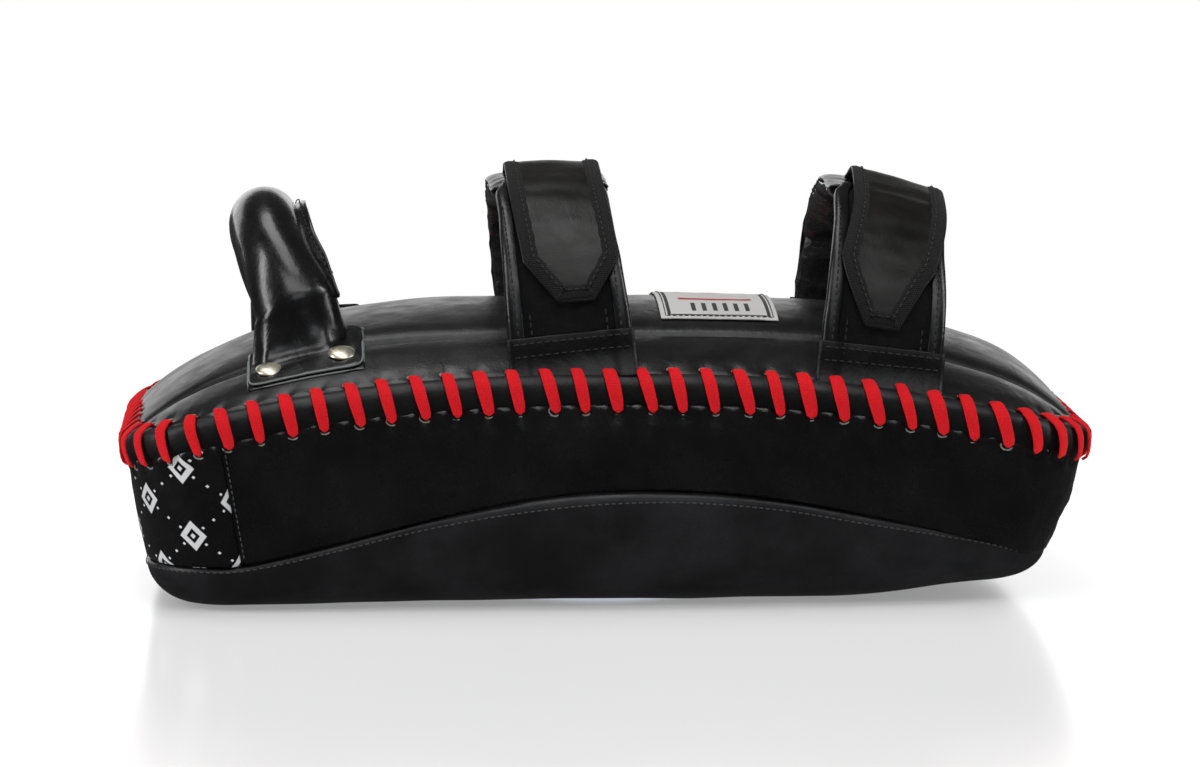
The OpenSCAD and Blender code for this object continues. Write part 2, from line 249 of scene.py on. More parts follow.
class Build:
    """Collects the vertices, faces and UVs of one piece. UVs are in metres."""

    def __init__(self):
        self.verts, self.faces, self.uvs = [], [], []

    def grid(self, rows, wrap=False, ring=False, at=None):
        """A surface through rows of points. wrap closes each row, ring joins the last row
        to the first one, and at(point) moves the points to their place."""
        base, m, count = len(self.verts), len(rows[0]), len(rows)
        across = [lengths(row + [row[0]] if wrap else row) for row in rows]
        column = [row[0] for row in rows]
        along = lengths(column + [column[0]] if ring else column)
        for row in rows:
            self.verts.extend(at @ p if at else p for p in row)
        for i in range(count if ring else count - 1):
            n = (i + 1) % count
            for j in range(m if wrap else m - 1):
                k = (j + 1) % m
                self.faces.append(
                    (base + i * m + j, base + i * m + k, base + n * m + k, base + n * m + j)
                )
                u, v = across[i], across[n]
                self.uvs.append(
                    ((u[j], along[i]), (u[j + 1], along[i]), (v[j + 1], along[i + 1]), (v[j], along[i + 1]))
                )

    def tube(self, loops, ring=False, at=None):
        """A closed solid through loops of points, with flat ends unless it is a ring."""
        base, m = len(self.verts), len(loops[0])
        self.grid(loops, wrap=True, ring=ring, at=at)
        if not ring:
            for start in (base, base + (len(loops) - 1) * m):
                self.faces.append(tuple(range(start, start + m)))
                self.uvs.append(tuple((0.3 * k, 0.0) for k in range(m)))

    def slab(self, rows, thick, away, relief=None, ring=False, at=None):
        """A sheet whose outer face passes through rows of points, thick deep, with half-round
        edges. relief(point) raises the outer face."""
        away = Vector(away)
        normals = surface_normals(rows, away, ring)
        if relief:
            rows = [
                [p + n * relief(p) for p, n in zip(row, line)] for row, line in zip(rows, normals)
            ]
            normals = surface_normals(rows, away, ring)
        r = thick / 2
        loops = [slab_loop(row, line, r, 1.0) for row, line in zip(rows, normals)]
        if not ring:
            loops = (
                end_loops(rows[0], rows[1], normals[0], r)[::-1]
                + loops
                + end_loops(rows[-1], rows[-2], normals[-1], r)
            )
        self.grid(loops, wrap=True, ring=ring, at=at)

    def object(self, name, material, slot=None, smooth=True):
        """The piece as an object, closed where its points meet and facing outwards."""
        mesh = bpy.data.meshes.new(name)
        mesh.from_pydata([tuple(v * MM) for v in self.verts], [], self.faces)
        layer = mesh.uv_layers.new(name="Metres")
        flat = [c * MM for face in self.uvs for uv in face for c in uv]
        layer.data.foreach_set("uv", flat)
        work = bmesh.new()
        work.from_mesh(mesh)
        bmesh.ops.remove_doubles(work, verts=work.verts, dist=2e-6)
        bmesh.ops.recalc_face_normals(work, faces=work.faces)
        work.to_mesh(mesh)
        work.free()
        mesh.polygons.foreach_set("use_smooth", [smooth] * len(mesh.polygons))
        piece = bpy.data.objects.new(name, mesh)
        bpy.context.scene.collection.objects.link(piece)
        mesh.materials.append(material)
        return piece


def slab_loop(row, line, r, scale, shift=None):
    """One closed section of a sheet: outer face, half-round edge, inner face, other edge."""
    mids = [p - n * r for p, n in zip(row, line)]
    if shift:
        mids = [p + d for p, d in zip(mids, shift)]
    right = (row[-1] - row[-2]).normalized()
    left = (row[0] - row[1]).normalized()
    arc = [math.radians(a) for a in (55, 20, -20, -55)]
    outer = [p + n * r * scale for p, n in zip(mids, line)]
    inner = [p - n * r * scale for p, n in zip(mids, line)]
    edge_r = [
        mids[-1] + (right * math.cos(a) + line[-1] * math.sin(a)) * r * scale for a in arc
    ]
    edge_l = [mids[0] + (left * math.cos(a) - line[0] * math.sin(a)) * r * scale for a in arc]
    return outer + edge_r + inner[::-1] + edge_l


def end_loops(row, inside, line, r):
    """Sections that round off the end of a sheet."""
    out = [(a - b).normalized() for a, b in zip(row, inside)]
    found = []
    for degrees in (35, 65, 90):
        a = math.radians(degrees)
        found.append(
            slab_loop(row, line, r, max(0.0, math.cos(a)), [d * r * math.sin(a) for d in out])
        )
    return found


def ride(piece, body, nodes=()):
    """Puts a piece on its CAD body in place of those nodes."""
    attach(piece, body)
    if nodes:
        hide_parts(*nodes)
    return piece


def bend(piece, nodes=()):
    """Bakes a piece's placement into its mesh and hides those nodes."""
    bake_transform(piece)
    if nodes:
        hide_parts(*nodes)
    return piece


# ---- Materials ----


def add(tree, kind, inputs=None, out=0, **settings):
    """Adds a shader node, sets its inputs or links them, and returns one of its outputs."""
    node = tree.nodes.new("ShaderNode" + kind)
    for key, value in settings.items():
        setattr(node, key, value)
    for key, value in (inputs or {}).items():
        socket = node.inputs[key]
        if isinstance(value, bpy.types.NodeSocket):
            tree.links.new(value, socket)
        else:
            socket.default_value = value
    return node.outputs[out] if len(node.outputs) else None


def math_node(tree, operation, a, b=0.0, clamped=False):
    return add(tree, "Math", {0: a, 1: b}, operation=operation, use_clamp=clamped)


def times(tree, a, b, clamped=False):
    return math_node(tree, "MULTIPLY", a, b, clamped)


def plus(tree, a, b, clamped=False):
    return math_node(tree, "ADD", a, b, clamped)


def minus(tree, a, b):
    return math_node(tree, "SUBTRACT", a, b)


def size_of(tree, a):
    return math_node(tree, "ABSOLUTE", a)


def spread(tree, value, low, high, new_low=0.0, new_high=1.0):
    """Maps value from low..high to new_low..new_high."""
    inputs = {0: value, 1: low, 2: high, 3: new_low, 4: new_high}
    return add(tree, "MapRange", inputs, interpolation_type="SMOOTHSTEP")


def blend_colour(tree, factor, a, b):
    return add(tree, "Mix", {0: factor, 6: a, 7: b}, out=2, data_type="RGBA")


def rgba(colour):
    return (*colour, 1.0)


def scaled(tree, vector, x, y, z=1.0):
    """The vector with each part multiplied."""
    return add(tree, "Mapping", {"Vector": vector, "Scale": (x, y, z)}, vector_type="POINT")


def moved_by(tree, vector, x):
    """The vector moved along X, in metres."""
    return add(tree, "Mapping", {"Vector": vector, "Location": (x, 0, 0)}, vector_type="POINT")


class Paint:
    """A material's node tree with the steps that all the materials share."""

    def __init__(self, name, by_place=False):
        self.material = bpy.data.materials.new(name)
        self.material.use_nodes = True
        self.tree = self.material.node_tree
        self.tree.nodes.clear()
        self.where = add(self.tree, "TexCoord", out="Object" if by_place else "UV")
        self.normal = None

    def noise(self, scale, detail=2.0, rough=0.5, twist=0.0, vector=None):
        inputs = {
            "Vector": vector or self.where,
            "Scale": scale,
            "Detail": detail,
            "Roughness": rough,
            "Distortion": twist,
        }
        return add(self.tree, "TexNoise", inputs)

    def cells(self, scale, feature="F1", vector=None):
        inputs = {"Vector": vector or self.where, "Scale": scale}
        return add(self.tree, "TexVoronoi", inputs, out="Distance", feature=feature)

    def parts(self, vector=None):
        """The three parts of a vector, or of the place on the surface."""
        return add(self.tree, "SeparateXYZ", {0: vector or self.where}).node.outputs

    def bump(self, height, strength, depth):
        """Adds relief, depth in metres."""
        inputs = {"Height": height, "Strength": strength, "Distance": depth}
        if self.normal:
            inputs["Normal"] = self.normal
        self.normal = add(self.tree, "Bump", inputs)

    def finish(self, colour, rough, **constants):
        """Ends the material. constants set the shader's own sockets, _ for a space."""
        inputs = {"Base Color": colour, "Roughness": rough}
        if self.normal:
            inputs["Normal"] = self.normal
        for key, value in constants.items():
            inputs[key.replace("_", " ")] = value
        shader = add(self.tree, "BsdfPrincipled", inputs)
        add(self.tree, "OutputMaterial", {"Surface": shader})
        return self.material


def leather_ground(paint, colour, rough, grain, crease, scale=1.0):
    """Relief, colour and roughness of leather: pores, soft creases and slight wear."""
    tree = paint.tree
    pores = paint.cells(900 * scale)
    fine = paint.noise(1900 * scale, 3, 0.6)
    folds = paint.noise(55 * scale, 4, 0.55, 0.8)
    threads = paint.noise(150 * scale, 5, 0.62, 1.5, scaled(tree, paint.where, 1.0, 0.35))
    paint.bump(plus(tree, pores, times(tree, fine, 0.5)), grain, 0.0004)
    paint.bump(plus(tree, folds, times(tree, threads, 0.3)), crease, 0.002)
    lighter = tuple(min(1.0, c * 1.6 + 0.001) for c in colour)
    darker = tuple(c * 0.6 for c in colour)
    patches = spread(tree, paint.noise(22 * scale, 5, 0.6), 0.35, 0.68)
    base = blend_colour(tree, patches, rgba(darker), rgba(lighter))
    base = blend_colour(tree, spread(tree, pores, 0.0, 0.9, 0.55, 1.0), rgba(darker), base)
    gloss = spread(tree, paint.noise(70 * scale, 4, 0.6), 0.3, 0.7, rough - 0.05, rough + 0.08)
    return base, gloss


def leather(name, colour, rough, grain=0.12, crease=0.2, scale=1.0, by_place=False, **constants):
    """Plain leather. scale above 1 makes its grain finer."""
    paint = Paint(name, by_place)
    base, gloss = leather_ground(paint, colour, rough, grain, crease, scale)
    return paint.finish(base, gloss, **constants)


def back_leather():
    """Satin leather with painted shade, dull and black where it turns down into the two long seams."""
    paint = Paint("back leather", by_place=True)
    tree = paint.tree
    base, gloss = leather_ground(paint, (0.0075, 0.0075, 0.008), 0.34, 0.1, 0.2)
    # Painted shade: a band at each long seam is drawn near black and duller, where the leather turns down.
    past = minus(tree, size_of(tree, paint.parts()[1]), GROOVE_Y * MM)
    inside = spread(tree, past, -0.0042, -0.0026)
    seam = times(tree, inside, spread(tree, past, 0.0012, 0.0022, 1.0, 0.0))
    base = blend_colour(tree, seam, base, rgba((0.0006, 0.0006, 0.0006)))
    return paint.finish(base, plus(tree, gloss, times(tree, seam, 0.15)))


def ring_mask(paint, distance, low, high):
    """1 where a distance in metres lies between two values, with a soft 0.5 mm edge."""
    tree, soft_edge = paint.tree, 0.00025
    inside = spread(tree, distance, high - soft_edge, high + soft_edge, 1.0, 0.0)
    if low <= 0:
        return inside
    outside = spread(tree, distance, low - soft_edge, low + soft_edge, 0.0, 1.0)
    return times(tree, inside, outside)


def either(paint, *masks):
    """1 where any of the masks is."""
    found = masks[0]
    for mask in masks[1:]:
        found = math_node(paint.tree, "MAXIMUM", found, mask)
    return found


def distance_from_middle(paint):
    """Distance in metres from the middle of the pad, seen from above."""
    flat = add(paint.tree, "VectorMath", {0: paint.where, 1: (1, 1, 0)}, operation="MULTIPLY")
    return add(paint.tree, "VectorMath", {0: flat}, out=1, operation="LENGTH")


def face_leather():
    """Strike face: dark satin leather with a pale target, a block of bars and a lozenge."""
    paint = Paint("face leather", by_place=True)
    tree = paint.tree
    base, gloss = leather_ground(paint, (0.0125, 0.0125, 0.0145), 0.38, 0.1, 0.16)
    centre = distance_from_middle(paint)
    target = either(paint, ring_mask(paint, centre, 0.0455, 0.0600), ring_mask(paint, centre, 0, 0.0260))
    moved = moved_by(tree, paint.where, -0.110)
    sides = paint.parts(moved)
    badge = lozenge(paint, sides[0], sides[1], 0.011, 0.011, 0.6, 1.0)
    slanted = moved_by(tree, paint.where, 0.114)
    parts = paint.parts(slanted)
    lean = plus(tree, parts[1], times(tree, parts[0], 0.55))
    bars = math_node(tree, "PINGPONG", lean, 0.0085)
    bars = spread(tree, bars, 0.0043, 0.0047, 0.0, 1.0)
    wide = spread(tree, size_of(tree, parts[0]), 0.0215, 0.022, 1.0, 0.0)
    long = spread(tree, size_of(tree, lean), 0.0422, 0.0427, 1.0, 0.0)
    bars = times(tree, bars, times(tree, wide, long))
    below = spread(tree, paint.parts()[2], 0.02, 0.021, 1.0, 0.0)
    mask = times(tree, either(paint, target, badge, bars), below)
    worn = spread(tree, paint.noise(420, 4, 0.7), 0.28, 0.36, 0.35, 1.0)
    mask = times(tree, mask, worn)
    ink = blend_colour(tree, paint.noise(60, 3), rgba((0.52, 0.58, 0.72)), rgba((0.62, 0.67, 0.8)))
    return paint.finish(blend_colour(tree, mask, base, ink), gloss, Specular_IOR_Level=0.5)


def lozenge(paint, u, v, wide, high, low, top):
    """1 where |u|/wide + |v|/high lies between low and top."""
    tree = paint.tree
    reach = math_node(
        tree, "ADD",
        times(tree, size_of(tree, u), 1 / wide),
        times(tree, size_of(tree, v), 1 / high),
    )
    mask = spread(tree, reach, top - 0.04, top + 0.04, 1.0, 0.0)
    if low > 0:
        mask = times(tree, mask, spread(tree, reach, low - 0.04, low + 0.04))
    return mask


def cell_offset(paint, part, size, shift):
    """Distance in metres from the middle of the nearest cell of a pattern."""
    tree = paint.tree
    place = plus(tree, times(tree, part, 1 / size), 0.5 + shift)
    return times(tree, minus(tree, math_node(tree, "FRACT", place), 0.5), size)


PRINT_CELL = (0.0354, 0.028)


def print_cell(paint, share, shift):
    """Distances in metres, up and along, from the middle of the nearest printed cell. The
    cells are a share of the full size."""
    parts = paint.parts()
    return [cell_offset(paint, parts[1 - k], PRINT_CELL[k] * share, shift) for k in (0, 1)]


def printed_leather():
    """End panel: glossy leather printed all over with white hollow lozenges and dots."""
    paint = Paint("printed leather")
    tree = paint.tree
    base, gloss = leather_ground(paint, (0.005, 0.005, 0.0055), 0.28, 0.1, 0.2)
    masks = []
    for shift in (0.0, 0.5):
        cell = print_cell(paint, 1, shift)
        masks.append(lozenge(paint, *cell, 0.0052, 0.0064, 0.5, 1.0))
        masks.append(lozenge(paint, *cell, 0.0052, 0.0064, 0.0, 0.2))
    for shift in (0.0, 0.5):
        dot = lozenge(paint, *print_cell(paint, 0.25, shift), 0.0007, 0.0007, 0.0, 1.0)
        ways = [
            size_of(tree, times(tree, way, 1 / size))
            for way, size in zip(print_cell(paint, 1, 0.0), PRINT_CELL)
        ]
        band = size_of(tree, minus(tree, *ways))
        masks.append(times(tree, dot, spread(tree, band, 0.05, 0.07, 1.0, 0.0)))
    mask = either(paint, *masks)
    worn = spread(tree, paint.noise(500, 4, 0.7), 0.3, 0.4, 0.3, 1.0)
    mask = times(tree, mask, worn)
    ink = blend_colour(tree, paint.noise(90, 3), rgba((0.7, 0.7, 0.72)), rgba((0.85, 0.85, 0.86)))
    return paint.finish(blend_colour(tree, mask, base, ink), gloss, Coat_Weight=0.2, Coat_Roughness=0.2)


def weave(name, colour, pitch_u, pitch_v, rough=0.8, depth=0.0004, fuzz=0.3, lift=1.6, tint=0.5):
    """Woven tape or webbing: crossed ribs, darker between the threads, with a little fuzz."""
    paint = Paint(name)
    tree = paint.tree
    parts = paint.parts()
    waves = [
        math_node(tree, "SINE", times(tree, part, 2 * math.pi / pitch))
        for part, pitch in ((parts[0], pitch_u), (parts[1], pitch_v))
    ]
    crossed = times(tree, waves[0], waves[1])
    height = spread(tree, crossed, -1.0, 1.0)
    fluff = paint.noise(2600, 4, 0.7)
    paint.bump(height, 0.7, depth)
    paint.bump(fluff, 0.5, depth)
    darker = tuple(c * 0.5 for c in colour)
    lighter = tuple(min(1.0, c * lift) for c in colour)
    tone = plus(tree, times(tree, height, 0.6),
                     times(tree, fluff, 0.5), True)
    tone = times(tree, tone, spread(tree, paint.noise(30, 4), 0.2, 0.8, 0.6, 1.2), True)
    base = blend_colour(tree, tone, rgba(darker), rgba(lighter))
    return paint.finish(
        base, spread(tree, fluff, 0.2, 0.8, rough - 0.08, rough + 0.08),
        Sheen_Weight=fuzz, Sheen_Roughness=0.4, Sheen_Tint=rgba((tint, tint, tint)),
        Specular_IOR_Level=0.25,
    )


def fuzzy_loops():
    """Loop side of the touch fastener: dense short black fuzz."""
    paint = Paint("webbing")
    tree = paint.tree
    curls = paint.noise(1500, 5, 0.75, 2.0)
    clumps = paint.noise(240, 4, 0.6)
    paint.bump(curls, 0.9, 0.0009)
    tone = times(tree, spread(tree, curls, 0.35, 0.7), spread(tree, clumps, 0.25, 0.75, 0.4, 1.0))
    base = blend_colour(tree, tone, rgba((0.002, 0.002, 0.0022)), rgba((0.017, 0.017, 0.018)))
    return paint.finish(
        base, spread(tree, curls, 0.3, 0.7, 0.78, 0.98),
        Sheen_Weight=0.08, Sheen_Roughness=0.5, Sheen_Tint=rgba((0.4, 0.4, 0.42)), Specular_IOR_Level=0.15,
    )


def hook_tape():
    """Hook side of the touch fastener: rows of small stiff hooks."""
    paint = Paint("hook tape")
    tree = paint.tree
    hooks = paint.cells(700, vector=scaled(tree, paint.where, 1.0, 0.6))
    paint.bump(spread(tree, hooks, 0.1, 0.6, 1.0, 0.0), 1.0, 0.0012)
    speckle = times(tree, spread(tree, hooks, 0.1, 0.6, 1.0, 0.0), paint.noise(900, 3))
    base = blend_colour(tree, speckle, rgba((0.008, 0.008, 0.009)), rgba((0.07, 0.07, 0.075)))
    return paint.finish(base, spread(tree, hooks, 0, 1, 0.4, 0.6))


def lace_weave():
    """Flat red lace: fine plait, dark in the folds."""
    paint = Paint("lace")
    tree = paint.tree
    parts = paint.parts()
    left = plus(tree, parts[0], parts[1])
    right = minus(tree, parts[0], parts[1])
    waves = [math_node(tree, "SINE", times(tree, d, 2 * math.pi / 0.0012)) for d in (left, right)]
    plait = spread(tree, times(tree, waves[0], waves[1]), -1, 1)
    fluff = paint.noise(2400, 4, 0.7)
    paint.bump(plait, 0.55, 0.0004)
    paint.bump(fluff, 0.5, 0.0004)
    tone = plus(tree, times(tree, plait, 0.45), times(tree, fluff, 0.6), True)
    tone = times(tree, tone, spread(tree, paint.noise(60, 3), 0.25, 0.75, 0.7, 1.15), True)
    base = blend_colour(tree, tone, rgba((0.72, 0.004, 0.009)), rgba((1.0, 0.018, 0.028)))
    return paint.finish(
        base, spread(tree, fluff, 0.2, 0.8, 0.6, 0.85),
        Sheen_Weight=0.12, Sheen_Roughness=0.4, Sheen_Tint=rgba((1.0, 0.15, 0.15)), Specular_IOR_Level=0.15,
    )


def foam(name, colour):
    """Closed foam with small bubbles."""
    paint = Paint(name, by_place=True)
    bubbles = paint.cells(900)
    paint.bump(bubbles, 0.8, 0.0008)
    tone = spread(paint.tree, paint.noise(500, 4), 0.3, 0.7)
    dark = tuple(c * 0.6 for c in colour)
    base = blend_colour(paint.tree, tone, rgba(dark), rgba(colour))
    return paint.finish(base, spread(paint.tree, bubbles, 0, 1, 0.85, 1.0))


def rivet_metal():
    """Nickel over brass: pale, warmer in worn patches, with fine scratches."""
    paint = Paint("rivet metal", by_place=True)
    tree = paint.tree
    scratch = paint.noise(900, 4, 0.7, 1.0, scaled(tree, paint.where, 1.0, 0.2))
    paint.bump(scratch, 0.12, 0.0002)
    worn = spread(tree, paint.noise(260, 4, 0.6), 0.35, 0.65)
    base = blend_colour(tree, worn, rgba((0.83, 0.79, 0.68)), rgba((0.72, 0.66, 0.5)))
    return paint.finish(base, spread(tree, scratch, 0.3, 0.7, 0.3, 0.42), Metallic=1.0)


def thread(name, colour, rough=0.6):
    """Twisted sewing thread."""
    paint = Paint(name)
    tree = paint.tree
    parts = paint.parts()
    slant = plus(tree, parts[0], times(tree, parts[1], 0.7))
    ply = math_node(tree, "SINE", times(tree, slant, 2 * math.pi / 0.0005))
    paint.bump(ply, 0.6, 0.0002)
    dark = tuple(c * 0.55 for c in colour)
    base = blend_colour(tree, spread(tree, ply, -1, 1), rgba(dark), rgba(colour))
    return paint.finish(base, spread(tree, paint.noise(900, 3), 0.2, 0.8, rough - 0.1, rough + 0.1))


def label_cloth():
    """White woven label with a dark frame, two straight red stripes and short dark bars."""
    paint = Paint("label")
    tree = paint.tree
    place = add(tree, "TexCoord", out="Object")
    moved = moved_by(tree, place, -0.0465)
    parts = paint.parts(moved)
    x, y = (size_of(tree, parts[k]) for k in (0, 1))
    frame_x = minus(tree, x, 0.0205)
    frame_y = minus(tree, y, 0.0415)
    edge = math_node(tree, "MAXIMUM", frame_x, frame_y)
    border = math_node(
        tree, "MULTIPLY", spread(tree, edge, -0.0009, -0.0007), spread(tree, edge, 0.0005, 0.0007, 1.0, 0.0)
    )
    from_stripe = size_of(tree, minus(tree, y, 0.0135))
    stripes = math_node(
        tree, "MULTIPLY",
        spread(tree, from_stripe, 0.0022, 0.0024, 1.0, 0.0), spread(tree, x, 0.0150, 0.0152, 1.0, 0.0),
    )
    far_y = minus(tree, y, 0.029)
    bars = math_node(
        tree, "MULTIPLY",
        spread(tree, math_node(tree, "PINGPONG", plus(tree, parts[0], 0.1), 0.0022), 0.0012, 0.0014),
        math_node(
            tree, "MULTIPLY", spread(tree, size_of(tree, far_y), 0.0065, 0.0067, 1.0, 0.0),
            spread(tree, x, 0.0130, 0.0132, 1.0, 0.0),
        ),
    )
    threads = [
        math_node(tree, "SINE", times(tree, parts[k], 2 * math.pi / 0.0006)) for k in (0, 1)
    ]
    cloth = spread(tree, times(tree, threads[0], threads[1]), -1, 1)
    paint.bump(cloth, 0.5, 0.0002)
    white = blend_colour(tree, cloth, rgba((0.72, 0.71, 0.68)), rgba((0.86, 0.85, 0.83)))
    base = blend_colour(tree, either(paint, border, bars), white, rgba((0.02, 0.02, 0.022)))
    base = blend_colour(tree, stripes, base, rgba((0.55, 0.02, 0.03)))
    return paint.finish(base, spread(tree, cloth, 0, 1, 0.6, 0.8), Sheen_Weight=0.1)


FACE = face_leather()
SIDE = leather(
    "side leather", (0.0045, 0.0045, 0.005), 0.25, 0.08, 0.22, Coat_Weight=0.2, Coat_Roughness=0.15
)
BACK = back_leather()
PRINTED = printed_leather()
GRIP = leather("grip leather", (0.004, 0.004, 0.0045), 0.24, 0.06, 0.2, Coat_Weight=0.3, Coat_Roughness=0.14)
CUFF = leather("cuff leather", (0.006, 0.006, 0.0065), 0.3, 0.1, 0.35, Coat_Weight=0.2, Coat_Roughness=0.2)
# Painted sheen: the glossy black lining is drawn grey, in place of the reflections in its crumples.
LINING_PAINTED_SHEEN = leather("lining leather, painted sheen", (0.03, 0.03, 0.032), 0.22, 0.08, 0.6, Coat_Weight=0.8, Coat_Roughness=0.12)
FLAP = leather("flap leather", (0.004, 0.004, 0.004), 0.5, 0.15, 0.2)
TAB = leather("tab leather", (0.007, 0.0062, 0.0055), 0.4, 0.08, 0.12, Specular_IOR_Level=0.32)
BASE = leather("laced base leather", (0.0035, 0.0035, 0.0037), 0.42, 0.14, 0.3, Specular_IOR_Level=0.32)
# Rims of the lace holes: the raw cut edge, drawn pale as a painted highlight round each hole.
RAW_EDGE_PAINTED_HIGHLIGHT = leather("raw edge, painted highlight", (0.38, 0.37, 0.33), 0.5, 0.3, 0.2, 2.0)
LOOPS = fuzzy_loops()
HOOKS = hook_tape()
BINDING = weave("binding tape", (0.008, 0.008, 0.0085), 0.0016, 0.0011, 0.75, 0.0005, 0.12)
PIPING = leather("piping leather", (0.004, 0.004, 0.0042), 0.3, 0.1, 0.2)
LACE = lace_weave()
LABEL = label_cloth()
FOAM = foam("foam", (0.3, 0.3, 0.31))
METAL = rivet_metal()
THREAD = thread("black thread", (0.03, 0.027, 0.026))
GREY_THREAD = thread("grey thread", (0.1, 0.09, 0.085))
PALE_THREAD = thread("pale edge line", (0.32, 0.36, 0.35), 0.45)


# ---- Padded body ----

CENTRE = Vector((0, 0, 45))


def ring_stops(per_pitch=6):
    """Even stops round the rim, several to each stitch."""
    count = STITCHES * per_pitch
    return [(k + 0.5) * 2 * HALF_RUN / count for k in range(count)]


def to_hole(s):
    """Signed distance along the rim from the nearest stitch."""
    return (s / PITCH - LACE_START - round(s / PITCH - LACE_START)) * PITCH


def raised_end(x):
    """How far the plain end's underside stands off the floor."""
    return 7.5 * ease(88, 168, x)


def dents(x):
    """Depth of the two soft hollows across the long sides."""
    return 2.6 * hump(x, -80, 17) + 2.2 * hump(x, 74, 19)


def face_point(s, t):
    """A point of the strike face's rolled edge, t from 0 at the seam to 90 on the face."""
    x = rim(s)[0]
    c, up = math.cos(math.radians(t)), 1 - math.sin(math.radians(t))
    inset = seam_inset(x) + roll(x) * (1 - c)
    middle = math.sin(math.radians(2 * min(t, 90)))
    inset += dents(x) * (0.35 + 0.65 * middle) * c
    inset -= 1.3 * middle * (1 - endness(x))
    p = at_rim(s, inset, (seam_z(x) - GAP / 2) * up + 0.6)
    p.z += raised_end(p.x) * (1 - up * 0.6)
    return p


def face_relief(p):
    """Stuffed look of the strike face: low waves, and ripples up its edge."""
    low = soft(p, 55, 1.0, 3) + soft(p, 22, 0.35, 8)
    ripples = soft((p.x * 1.0, p.y * 0.3, p.z * 0.3), 7, 0.16, 5) * ease(4, 20, p.z)
    return (low + ripples) * ease(-1, 14, p.z + 6) - 0.25


def strike_face():
    """Strike face with its rolled edge, as one skin."""
    stops = ring_stops(4)
    rows = []
    for t in (0, 3, 7, 12, 18, 24, 31, 38, 45, 52, 59, 66, 73, 80, 85, 90):
        rows.append([face_point(s, t) for s in stops])
    for k, row in enumerate(rows[:3]):
        for i, s in enumerate(stops):
            nx, ny = rim(s)[2:]
            tuck = (1.5, 0.45, 0.1)[k]
            row[i] -= Vector((nx, ny, 0)) * tuck
    edge = rows[-1]
    for f in (0.12, 0.26, 0.42, 0.6, 0.8, 1.0):
        rows.append([p.lerp(Vector((clamp(p.x, -118, 118), 0, 0.6)), f) for p in edge])
    for row in rows[-6:]:
        for p in row:
            p.z = 0.6 + raised_end(p.x)
    normals = surface_normals([r + r[:1] for r in rows], CENTRE, False)
    moved = [
        [p + n * face_relief(p) for p, n in zip(row, line)] for row, line in zip(rows, normals)
    ]
    build = Build()
    build.grid(moved, wrap=True)
    piece = build.object("strike_face_leather", FACE, "face_leather")
    thicken(piece, LEATHER)
    return ride(piece, "pad", ["strike_face_cover"])


def thicken(piece, thick):
    """Gives an open skin its thickness, inwards."""
    solid = piece.modifiers.new("Leather", "SOLIDIFY")
    solid.thickness, solid.offset = thick * MM, -1
    solid.use_even_offset = False
    return piece


SIDE_DROP = 10.6


def side_top(s):
    """Height of the side leather's top edge, pulled up a little at each stitch."""
    return rim_z(rim(s)[0]) - SIDE_DROP + 0.9 * hump(to_hole(s + LACE_SLANT), 0, 2.6)


def side_relief(p, s):
    """Puffed side, drawn in at each stitch, crumpled at the plain end."""
    x = rim(s)[0]
    low, top = seam_z(x), rim_z(x) - SIDE_DROP
    up = clamp((p.z - low) / (top - low))
    puff = 1.5 * math.sin(math.pi * clamp(up * 0.9 + 0.02)) * (0.4 + 0.6 * (1 - endness(x)))
    from_top = (top - p.z) / 6
    pull = -1.5 * hump(to_hole(s + LACE_SLANT), 0, 2.4) * hump(from_top, 0.35, 0.7)
    crest = 1.1 * hump(to_hole(s + LACE_SLANT + PITCH / 2), -1.2, 3.0) * hump(from_top, 0.25, 0.45)
    fan = 0.9 * noise.noise((s / 2.4, p.z / 11, 1.0)) * math.exp(-max(0, from_top) * 0.8)
    waves = soft((s * 0.35, p.z * 1.0, 0), 12, 0.55, 4) + soft((s, p.z, 0), 26, 0.8, 9)
    crumples = 1 - 2.6 * abs(noise.noise((s / 19, p.z / 13, 6.0)))
    crumples += 0.5 * (1 - 2.6 * abs(noise.noise((s / 8, p.z / 6, 2.0))))
    worn = 0.9 * crumples * ease(70, 150, x) * math.sin(math.pi * clamp(up * 0.94 + 0.03))
    return puff * 0.8 + pull + crest + fan + waves * ease(0.0, 0.25, up) * (1 - 0.4 * up) + worn - 0.5


def side_panel(name, from_s, to_s, nodes, material, slot, slants=(0, 0)):
    """A side panel between two distances along the rim. slants shift the top of its ends."""
    rows = []
    count = max(2, round((to_s - from_s) / 2.2))
    levels = [0, 0.015, 0.04, 0.08, 0.14, 0.22, 0.3, 0.4, 0.5, 0.6, 0.7, 0.79, 0.87, 0.93, 0.97, 1.0]
    for i in range(count + 1):
        row = []
        for level in levels:
            start, end = from_s + slants[0] * level, to_s + slants[1] * level
            s = mix(start, end, i / count)
            x = rim(s)[0]
            z = mix(seam_z(x) + 0.7, side_top(s), level)
            out = side_relief(Vector((x, 0, z)), s)
            tuck = 1.1 * hump(level, 0, 0.02) + 0.7 * hump(level, 1, 0.02)
            tuck += 1.1 * (hump(i, 0, 0.8) + hump(i, count, 0.8))
            row.append(at_rim(s, side_inset(x, z) - out + tuck, z))
        rows.append(row)
    build = Build()
    build.slab(rows, LEATHER, CENTRE)
    piece = build.object(name, material, slot)
    return ride(piece, "pad", nodes)


PRINT_S = END_RUN + CORNER_RUN + HALF_L - CORNER + 148.5
PRINT_LEAN = 8.5


def side_panels():
    """The two plain sides, from the plain end to the slanted seams of the printed panel."""
    far, full, lean = 2 * HALF_RUN - PRINT_S, 2 * HALF_RUN, PRINT_LEAN
    side_panel("side_leather_near", 0.4, PRINT_S - 0.7, ["side_panel_near"], SIDE,
               "side_leather", (0, lean))
    side_panel("side_leather_far", far + 0.7, full - 0.4, ["side_panel_far"], SIDE,
               "side_leather", (-lean, 0))
    side_panel("end_leather_printed", PRINT_S + 0.2, far - 0.2, ["end_panel_printed"], PRINTED,
               "printed_leather", (lean, -lean))


